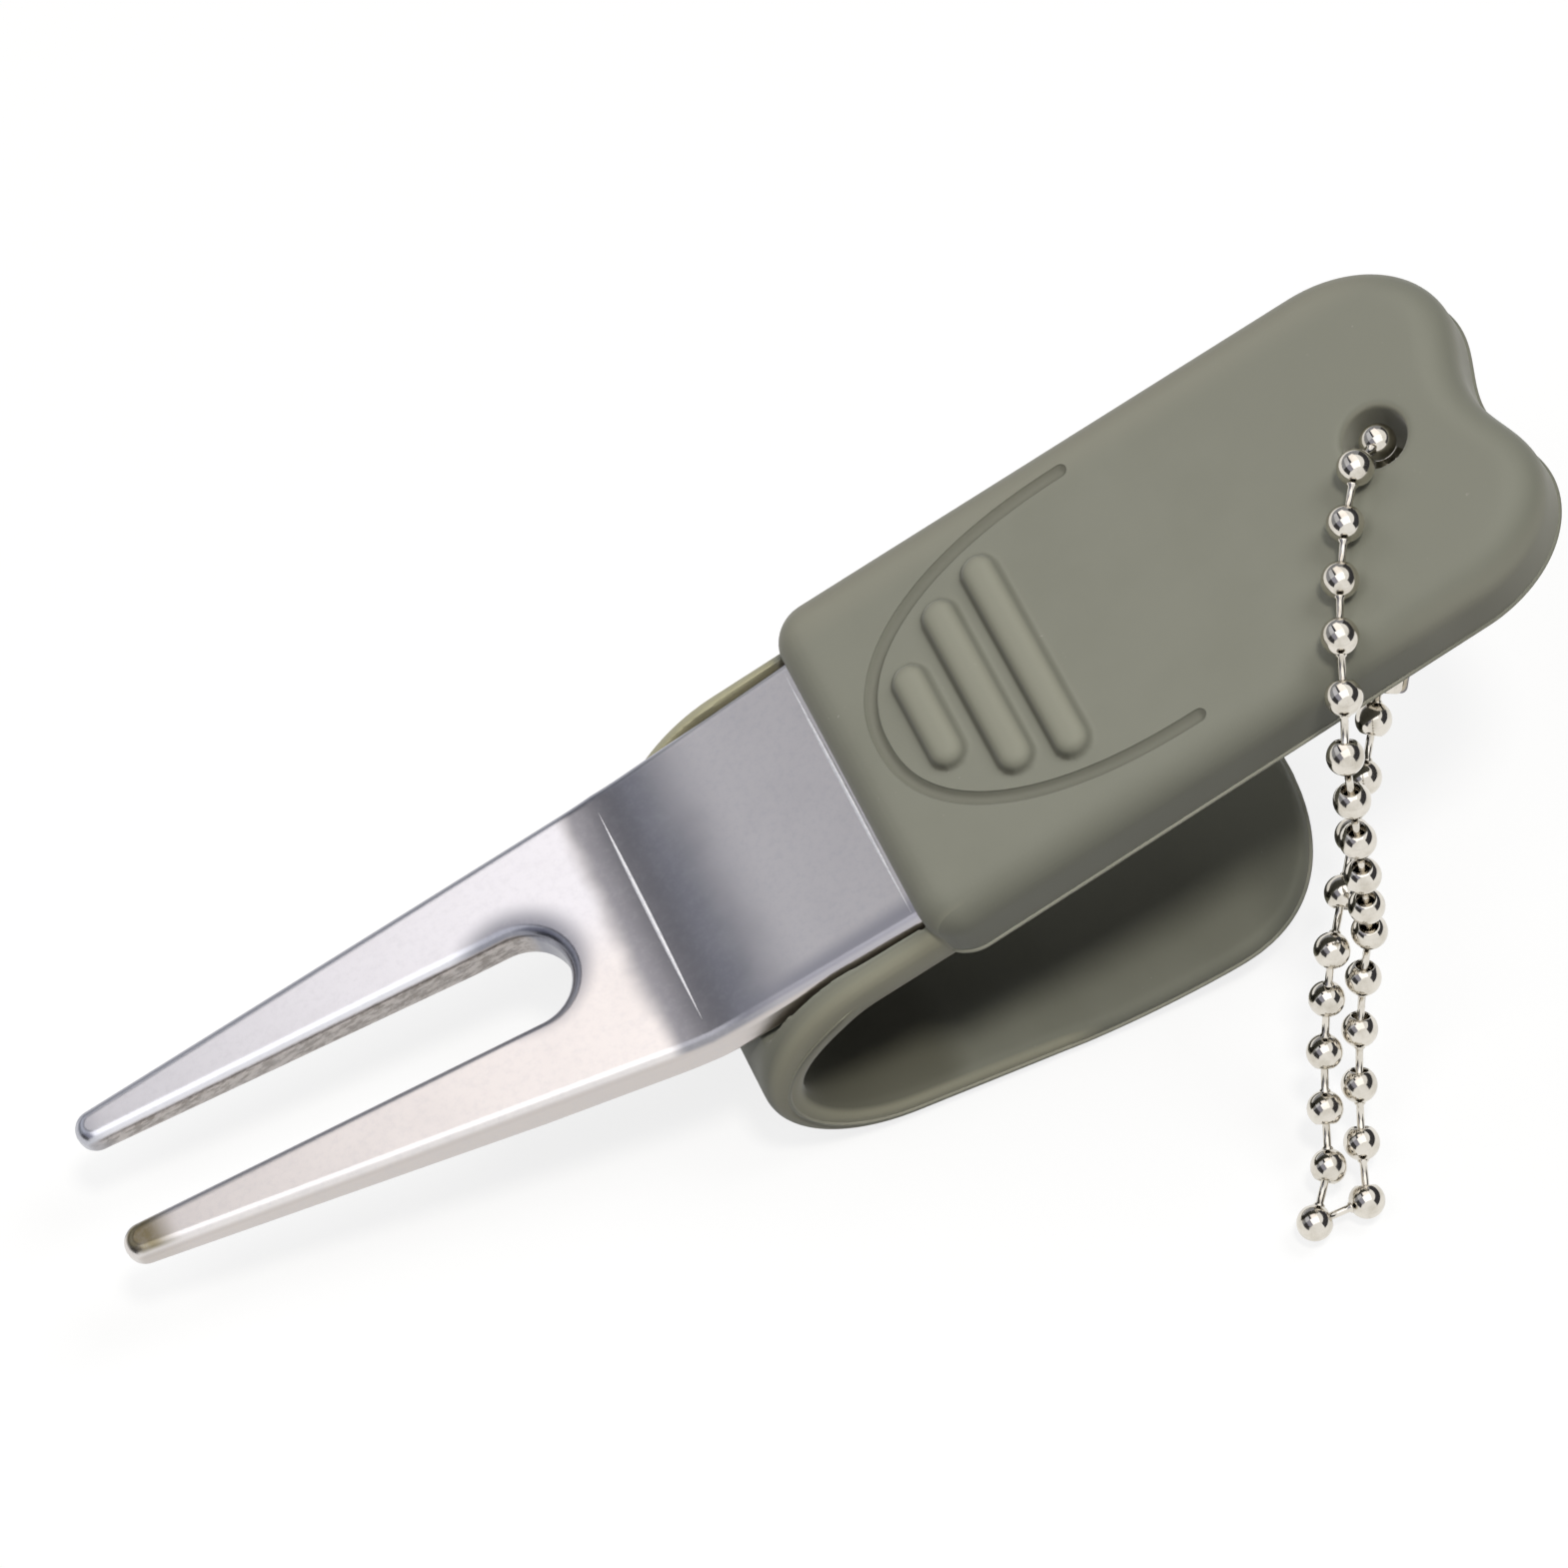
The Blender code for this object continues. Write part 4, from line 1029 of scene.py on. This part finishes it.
def ridge_strip(name, points, outs, ups):
    """The fine ridge that a mould leaves along its parting line, sinking away at both ends."""
    rings = []
    for i, (place, out, up) in enumerate(zip(points, outs, ups)):
        fade = min(1.0, (min(i, len(points) - 1 - i) + RIDGE_LEAST) / RIDGE_FADE)
        sunk = place - out * RIDGE_SINK * (1 - fade)
        ring = []
        for proud, share in RIDGE_SECTION:
            ring.append(sunk + out * proud * fade + up * share * RIDGE_WIDTH * fade)
        rings.append(ring)
    # the ridge's paler rubber is a painted highlight along it
    piece(name, loft(name, rings), "tool", FLASH_HIGHLIGHT)


def make_handle_ridge():
    """One ridge round the handle's side wall, from the front and back to it."""
    loop = [Vector((x, y, 0)) for x, y in handle_outline()]
    first = max(range(len(loop)), key=lambda i: (loop[i].x < AT_FRONT, loop[i].y))
    path = loop[first:] + loop[:first]
    outs = [Vector((-ahead.y, ahead.x, 0)).normalized() for ahead in headings(path)]
    points = [place + Vector((0, 0, PARTING_HEIGHT)) for place in path]
    ridge_strip("parting_line_handle", points, outs, [Vector((0, 0, 1))] * len(points))


def make_clip_ridge():
    """One ridge down the near side of the strap, round the tongue's end and back up the far side."""
    near = []
    far = []
    ups = []
    for (x, z), (away_x, away_z), thick, half in clip_stations()[CLIP_RIDGE_FROM:]:
        middle = (x - away_x * thick / 2, z - away_z * thick / 2)
        near.append(Vector((middle[0], -half, middle[1])))
        far.append(Vector((middle[0], half, middle[1])))
        ups.append(Vector((away_x, 0, away_z)))
    points = near + far[::-1]
    ups += ups[::-1]
    outs = [up.cross(ahead).normalized() for up, ahead in zip(ups, headings(points))]
    ridge_strip("parting_line_clip", points, outs, ups)


# chain route
def halve(low, high, too_far):
    for _ in range(HALVINGS):
        middle = (low + high) / 2
        if too_far(middle):
            high = middle
        else:
            low = middle
    return (low + high) / 2


def hang(start, end, links, bow_way):
    """Beads one pitch apart along a curve bowed just enough to use every link."""

    def place(share, bow):
        return start.lerp(end, share) + bow_way * bow * 4 * share * (1 - share)

    def walk(bow):
        shares = [0.0]
        for _ in range(links):
            here = place(shares[-1], bow)
            low = shares[-1]
            shares.append(halve(low, low + 1.0, lambda s: (place(s, bow) - here).length > BEAD_PITCH))
        return shares

    bow = halve(0.0, MOST_BOW, lambda size: walk(size)[-1] < 1.0)
    return [place(share, bow) for share in walk(bow)[1:-1]]


def meet(near, near_reach, far, far_reach, fall, lean):
    """The point at both reaches, hung along fall and swung by lean about the line between."""
    line = far - near
    span = line.length
    line.normalize()
    along = (near_reach ** 2 - far_reach ** 2 + span ** 2) / (2 * span)
    drop = math.sqrt(near_reach ** 2 - along ** 2)
    fall = (fall - line * fall.dot(line)).normalized()
    side = line.cross(fall)
    return near + line * along + (fall * math.cos(lean) + side * math.sin(lean)) * drop


def strand_way(turn_by, dip_by):
    angle = math.radians(turn_by)
    dip = math.radians(dip_by)
    level = math.cos(dip)
    return Vector((-math.sin(angle) * level, -math.cos(angle) * level, -math.sin(dip)))


def face_strand(mouth):
    """Beads over the face, which dip once they have passed the start of the rounded edge."""
    on_face = HANDLE_FACE + BEAD_RADIUS + CLEARANCE
    edge_y = HANDLE_EDGE - HANDLE_HALF
    first_reach = math.sqrt(BEAD_PITCH ** 2 - (on_face - mouth.z) ** 2)
    beads = [mouth + strand_way(STRAND_ANGLES[0], 0.0) * first_reach]
    beads[0].z = on_face
    for turn_by in STRAND_ANGLES[1:]:
        past = sum(bead.y < edge_y for bead in beads)
        dip_by = EDGE_DIPS[min(past, len(EDGE_DIPS)) - 1] if past else 0.0
        beads.append(beads[-1] + strand_way(turn_by, dip_by) * BEAD_PITCH)
    return beads


ACROSS = Vector(ROW_ACROSS).normalized()


def row_way(row):
    way = Vector(ROW_FIRST_WAY).lerp(Vector(ROW_LAST_WAY), row / (ROW_COUNT - 2))
    return (way - ACROSS * way.dot(ACROSS)).normalized()


ROW_LAG = min(ROW_STAGGER, BEAD_PITCH - ROW_STAGGER)
ROW_APART = math.sqrt((2 * BEAD_RADIUS + ROW_GAP) ** 2 - ROW_LAG ** 2)
ROW_SHIFT = row_way(0) * ROW_STAGGER - ACROSS * ROW_APART


def chain_rows(start):
    """The two strands side by side, down to the bead that closes the loop."""
    right = [start]
    left = [start + ROW_SHIFT]
    for row in range(ROW_COUNT - 1):
        right.append(right[-1] + row_way(row) * BEAD_PITCH)
    for row in range(ROW_COUNT - 2):
        left.append(left[-1] + row_way(row + ROW_STAGGER / BEAD_PITCH) * BEAD_PITCH)
    span = right[-1] - left[-1]
    reach = math.sqrt(BEAD_PITCH ** 2 - span.length_squared / 4)
    out = row_way(ROW_COUNT - 2)
    out = (out - span * out.dot(span) / span.length_squared).normalized()
    left.append((right[-1] + left[-1]) / 2 + out * reach)
    return right, left


def chain_loop():
    """Node names and places of the links, in order round the loop, and the rear strand."""
    back_mouth = mid_bead - Vector((0, 0, BEAD_PITCH))
    face_beads = face_strand(front_mouth)
    bow_way = Vector(FRONT_BOW).normalized()
    down = Vector((-math.sin(CLIP_ANGLE), 0.0, -math.cos(CLIP_ANGLE)))
    front_reach = FRONT_DROP_LINKS * BEAD_PITCH * FRONT_TAUT
    rear_reach = REAR_DROP_LINKS * BEAD_PITCH * REAR_TAUT
    start = meet(face_beads[-1], front_reach, back_mouth - ROW_SHIFT, rear_reach, down, LOOP_LEAN)
    right, left = chain_rows(start)
    front = [front_mouth] + face_beads
    front += hang(face_beads[-1], right[0], FRONT_DROP_LINKS, bow_way)
    rear = [back_mouth] + hang(back_mouth, left[0], REAR_DROP_LINKS, down)
    loop = [("chain_mid", mid_bead)]
    for strand, places, backward in (
        ("front", front, False),
        ("right", right, False),
        ("left", left, True),
        ("rear", rear, True),
    ):
        named = [(f"chain_{strand}_{i:02d}", place) for i, place in enumerate(places, 1)]
        loop += reversed(named) if backward else named
    return loop, rear


def aimed(place, direction):
    return Matrix.Translation(place) @ direction.to_track_quat("Z", "Y").to_matrix().to_4x4()


def bead_profile():
    """Outside, rolled socket rim and inside of one hollow bead, socket down."""
    inner = BEAD_RADIUS - BEAD_WALL
    rim = -math.acos(SOCKET_RADIUS / BEAD_RADIUS)
    lip = -math.acos(SOCKET_RADIUS / inner)
    points = [(0.0, BEAD_RADIUS)]
    points += arc((0.0, 0.0), BEAD_RADIUS, BEAD_TOP, rim + RIM_TURN, BEAD_OUTER_STEPS)
    middle = (BEAD_RADIUS + inner) / 2 * math.sin((rim + lip) / 2)
    points.append((SOCKET_RADIUS, BEAD_RADIUS * math.sin(rim) + RIM_ROLL))
    points.append((SOCKET_RADIUS - RIM_TUCK, middle))
    points += arc((0.0, 0.0), inner, lip + RIM_TURN, BEAD_INNER_TOP, BEAD_INNER_STEPS)
    points.append((0.0, inner))
    return points


def wire_profile():
    """Headed wire from the bead's skin to the middle of the next bead."""
    neck = math.acos(WIRE_RADIUS / WIRE_HEAD)
    root = BEAD_RADIUS - WIRE_SINK
    points = [(0.0, BEAD_PITCH + WIRE_HEAD)]
    points += arc((0.0, BEAD_PITCH), WIRE_HEAD, WIRE_HEAD_TOP, -neck, WIRE_HEAD_STEPS)
    collar = WIRE_RADIUS * COLLAR_SHARE
    points += [(WIRE_RADIUS, BEAD_RADIUS + COLLAR_TOP), (collar, BEAD_RADIUS + COLLAR_EDGE)]
    points += [(collar, root), (0.0, root)]
    return points


def joined(name, meshes):
    work = bmesh.new()
    for mesh in meshes:
        work.from_mesh(mesh)
        bpy.data.meshes.remove(mesh)
    made = bpy.data.meshes.new(name)
    work.to_mesh(made)
    work.free()
    return made


def clasp_mesh(place, direction):
    """A rolled sleeve with an open seam and lips turned in over the end beads."""
    inner = BEAD_RADIUS + CLEARANCE
    outer = inner + CLASP_WALL
    half = BEAD_PITCH / 2 + BEAD_RADIUS + CLEARANCE
    end = half + CLASP_WALL
    corner = CLASP_ROUND / 2
    section = [(CLASP_LIP, end)]
    quarter = math.radians(90)
    bend_x = outer - CLASP_ROUND
    bend_z = end - CLASP_ROUND
    section += arc((bend_x, bend_z), CLASP_ROUND, quarter, 0.0, CLASP_ROUND_STEPS)
    section += arc((bend_x, -bend_z), CLASP_ROUND, 0.0, -quarter, CLASP_ROUND_STEPS)
    section += [(CLASP_LIP, -end), (CLASP_LIP, -half)]
    section += [(inner - corner, -half), (inner, -half + corner)]
    section += [(inner, half - corner), (inner - corner, half), (CLASP_LIP, half)]
    seam = CLASP_SEAM / outer
    matrix = aimed(place, direction)
    rings = []
    for angle in np.linspace(seam / 2, 2 * math.pi - seam / 2, CLASP_STEPS):
        ring = []
        for radius, height in section:
            ring.append(matrix @ Vector((radius * math.cos(angle), radius * math.sin(angle), height)))
        rings.append(ring)
    return loft("clasp_sleeve", rings)


def make_chain():
    body_of = {}
    for body, members in frame["record"]["behaviour"]["bodies"].items():
        for member in members:
            body_of[member] = body
    loop, rear = chain_loop()
    end_name = f"chain_rear_{CLASP_AT + 1:02d}"
    for i, (name, place) in enumerate(loop):
        behind = loop[i - 1][1]
        ahead = loop[(i + 1) % len(loop)][1]
        meshes = [turned("bead", bead_profile(), BEAD_STEPS, aimed(place, place - behind))]
        if name != end_name:
            meshes.append(turned("wire", wire_profile(), WIRE_STEPS, aimed(place, ahead - place)))
        mesh = joined(name.replace("chain", "bead"), meshes)
        piece(mesh.name, mesh, body_of[name], NICKEL, [name])
    first = rear[CLASP_AT - 1]
    second = rear[CLASP_AT]
    mesh = clasp_mesh((first + second) / 2, second - first)
    clasp = piece("clasp_sleeve", mesh, body_of["chain_clasp"], NICKEL, ["chain_clasp"])
    modifier(clasp, "EDGE_SPLIT", split_angle=CLASP_SHARP_ANGLE)


make_fork()
make_lines()
make_grip()
make_handle_ridge()
make_clip_ridge()
make_chain()


# stage: floor, reflection cards, lamps and world
MIDDLE = Vector((0.0, 0.0095, 0.02))
WHITE = (1, 1, 1, 1)
FLOOR_HALF = 6.0
FLOOR_DROP = 0.05 * MM
FLOOR_COLOR = (0.2, 0.2, 0.2, 1)
FLOOR_LIFT = 0.82
WORLD_STRENGTH = (0.0, 1.0, 0.03, 1.0)
CARD_DISTANCE = 0.9
CARD_STEPS = 13
RING_DISTANCE = 1.2
RING_STEPS = 25
RING_ELEVATIONS = (3.0, 40.0)
RING_DARK = (0.05, 0.05, 0.055)
RING_GREY = (0.30, 0.31, 0.34)

# name, rolls about Y and leans towards Y in degrees, and colour
CARDS = (
    ("card_tang", (-58.0, -30.0), (8.0, 60.0), (0.66, 0.68, 0.745)),
    ("card_bend", (-30.0, -18.5), (8.0, 60.0), (0.02, 0.022, 0.035)),
    ("card_tines", (-18.5, 22.0), (8.0, 60.0), (1.42, 1.36, 1.34)),
    ("card_edges", (-30.0, 22.0), (-32.0, 8.0), (1.7, 1.7, 1.72)),
    ("card_tang_edge", (-58.0, -30.0), (-32.0, 8.0), (0.34, 0.345, 0.42)),
)

# name, first and last bearing in degrees, and colour
RING_SECTORS = (
    ("card_ring_right", (-56.0, 50.0), RING_DARK),
    ("card_ring_far", (50.0, 170.0), RING_GREY),
    ("card_ring_left", (170.0, 212.0), RING_DARK),
)

# name, place, width, power and colour
LAMPS = (
    ("key", (0.4, 0.0, 0.8), 0.4, 2.6, (0.98, 0.99, 1.0)),
    ("left", (-0.4, -0.1, 0.8), 0.4, 1.6, (0.98, 0.99, 1.0)),
    ("back", (-0.5, 0.5, 0.5), 0.5, 1.2, (1.0, 0.98, 0.94)),
    ("near", (0.0, -0.2, 0.85), 0.13, 3.1, (1.0, 0.97, 0.90)),
)


def seen_share(tree):
    """One for the lens and for reflections, nothing for the light that falls on the tool."""
    path = node(tree, "ShaderNodeLightPath")
    seen = math_node(tree, "MAXIMUM", path.outputs["Is Camera Ray"], path.outputs["Is Glossy Ray"])
    return math_node(tree, "MAXIMUM", seen, path.outputs["Is Transmission Ray"])


def floor_look():
    """A matte white table that shows white to the lens and to metal, and still takes the shadow."""
    look, tree, shader = sheet_of_nodes("floor_white")
    tree.nodes.remove(shader)
    strength = product(tree, seen_share(tree), FLOOR_LIFT)
    matte = node(tree, "ShaderNodeBsdfDiffuse", {"Color": FLOOR_COLOR})
    lift = node(tree, "ShaderNodeEmission", {"Color": WHITE, "Strength": strength})
    both = node(tree, "ShaderNodeAddShader", {0: matte.outputs[0], 1: lift.outputs[0]})
    fill(tree, tree.nodes["Material Output"], {"Surface": both.outputs[0]})
    return look


def make_floor():
    mesh = bpy.data.meshes.new("floor")
    corners = [(-1, -1), (1, -1), (1, 1), (-1, 1)]
    points = [(x * FLOOR_HALF, y * FLOOR_HALF, 0) for x, y in corners]
    mesh.from_pydata(points, [], [(0, 1, 2, 3)])
    mesh.materials.append(floor_look())
    floor = linked("floor", mesh)
    floor.location.z = -FLOOR_DROP


def flag(name, rows, grey):
    """A glowing sheet over rows of points, which only reflections see."""
    count = len(rows[0])
    faces = []
    for i in range(len(rows) - 1):
        for j in range(count - 1):
            first = i * count + j
            faces.append((first, first + 1, first + count + 1, first + count))
    mesh = bpy.data.meshes.new(name)
    mesh.from_pydata([point for row in rows for point in row], [], faces)
    look, tree, shader = sheet_of_nodes(name)
    tree.nodes.remove(shader)
    glow = node(tree, "ShaderNodeEmission", {"Color": (*grey, 1), "Strength": 1.0})
    fill(tree, tree.nodes["Material Output"], {"Surface": glow.outputs[0]})
    mesh.materials.append(look)
    made = linked(name, mesh)
    made.visible_camera = False
    made.visible_diffuse = False
    made.visible_shadow = False


def card(name, rolls, leans, grey):
    """A curved flag between two rolls about Y and two leans towards Y."""
    rows = []
    for roll in np.radians(np.linspace(*rolls, CARD_STEPS)):
        row = []
        for lean in np.radians(np.linspace(*leans, CARD_STEPS)):
            way = (math.sin(roll) * math.cos(lean), math.sin(lean), math.cos(roll) * math.cos(lean))
            row.append(MIDDLE + Vector(way) * CARD_DISTANCE)
        rows.append(row)
    flag(name, rows, grey)


def ring_sector(name, bearings, grey):
    """Part of a belt round the set, which gives bright metal its dark crescents."""
    rows = []
    for elevation in np.radians(RING_ELEVATIONS):
        level = math.cos(elevation)
        row = []
        for angle in np.radians(np.linspace(*bearings, RING_STEPS)):
            way = Vector((math.cos(angle) * level, math.sin(angle) * level, math.sin(elevation)))
            row.append(MIDDLE + way * RING_DISTANCE)
        rows.append(row)
    flag(name, rows, grey)


def lamp(name, at, width, watts, color):
    """A soft disk turned to the middle of the tool, which metal doesn't mirror."""
    data = bpy.data.lights.new(name, "AREA")
    data.shape = "DISK"
    data.size = width
    data.energy = watts
    data.color = color
    made = linked(name, data)
    made.location = at
    made.rotation_mode = "QUATERNION"
    made.rotation_quaternion = (MIDDLE - Vector(at)).to_track_quat("-Z", "Y")
    made.visible_glossy = False


def make_world():
    world = bpy.data.worlds.new("studio")
    bpy.context.scene.world = world
    world.use_nodes = True
    tree = world.node_tree
    strength = ramp(tree, seen_share(tree), *WORLD_STRENGTH)
    fill(tree, tree.nodes["Background"], {"Color": WHITE, "Strength": strength})


def make_stage():
    make_floor()
    for values in CARDS:
        card(*values)
    for values in RING_SECTORS:
        ring_sector(*values)
    for values in LAMPS:
        lamp(*values)
    make_world()


CAMERA_AT = Vector((53.452, -187.916, 332.982)) * MM
CAMERA_FORWARD = Vector((-0.14705, 0.49177, -0.85822)).normalized()
CAMERA_RIGHT = Vector((0.83449, -0.40414, -0.37457)).normalized()
CAMERA_LENS = 139.87
CAMERA_SENSOR = 36.0
CAMERA_CLIP = (0.01, 50.0)


def make_camera():
    """The photograph's viewing angle, fitted in the tool's own frame."""
    data = bpy.data.cameras.new("camera")
    data.lens = CAMERA_LENS
    data.sensor_width = CAMERA_SENSOR
    data.clip_start, data.clip_end = CAMERA_CLIP
    made = linked("camera", data)
    up = CAMERA_RIGHT.cross(CAMERA_FORWARD)
    turn = Matrix((CAMERA_RIGHT, up, -CAMERA_FORWARD)).transposed().to_4x4()
    made.matrix_world = HOME @ Matrix.Translation(CAMERA_AT) @ turn
    bpy.context.scene.camera = made


make_stage()
make_camera()
bpy.context.scene.view_settings.view_transform = "Standard"
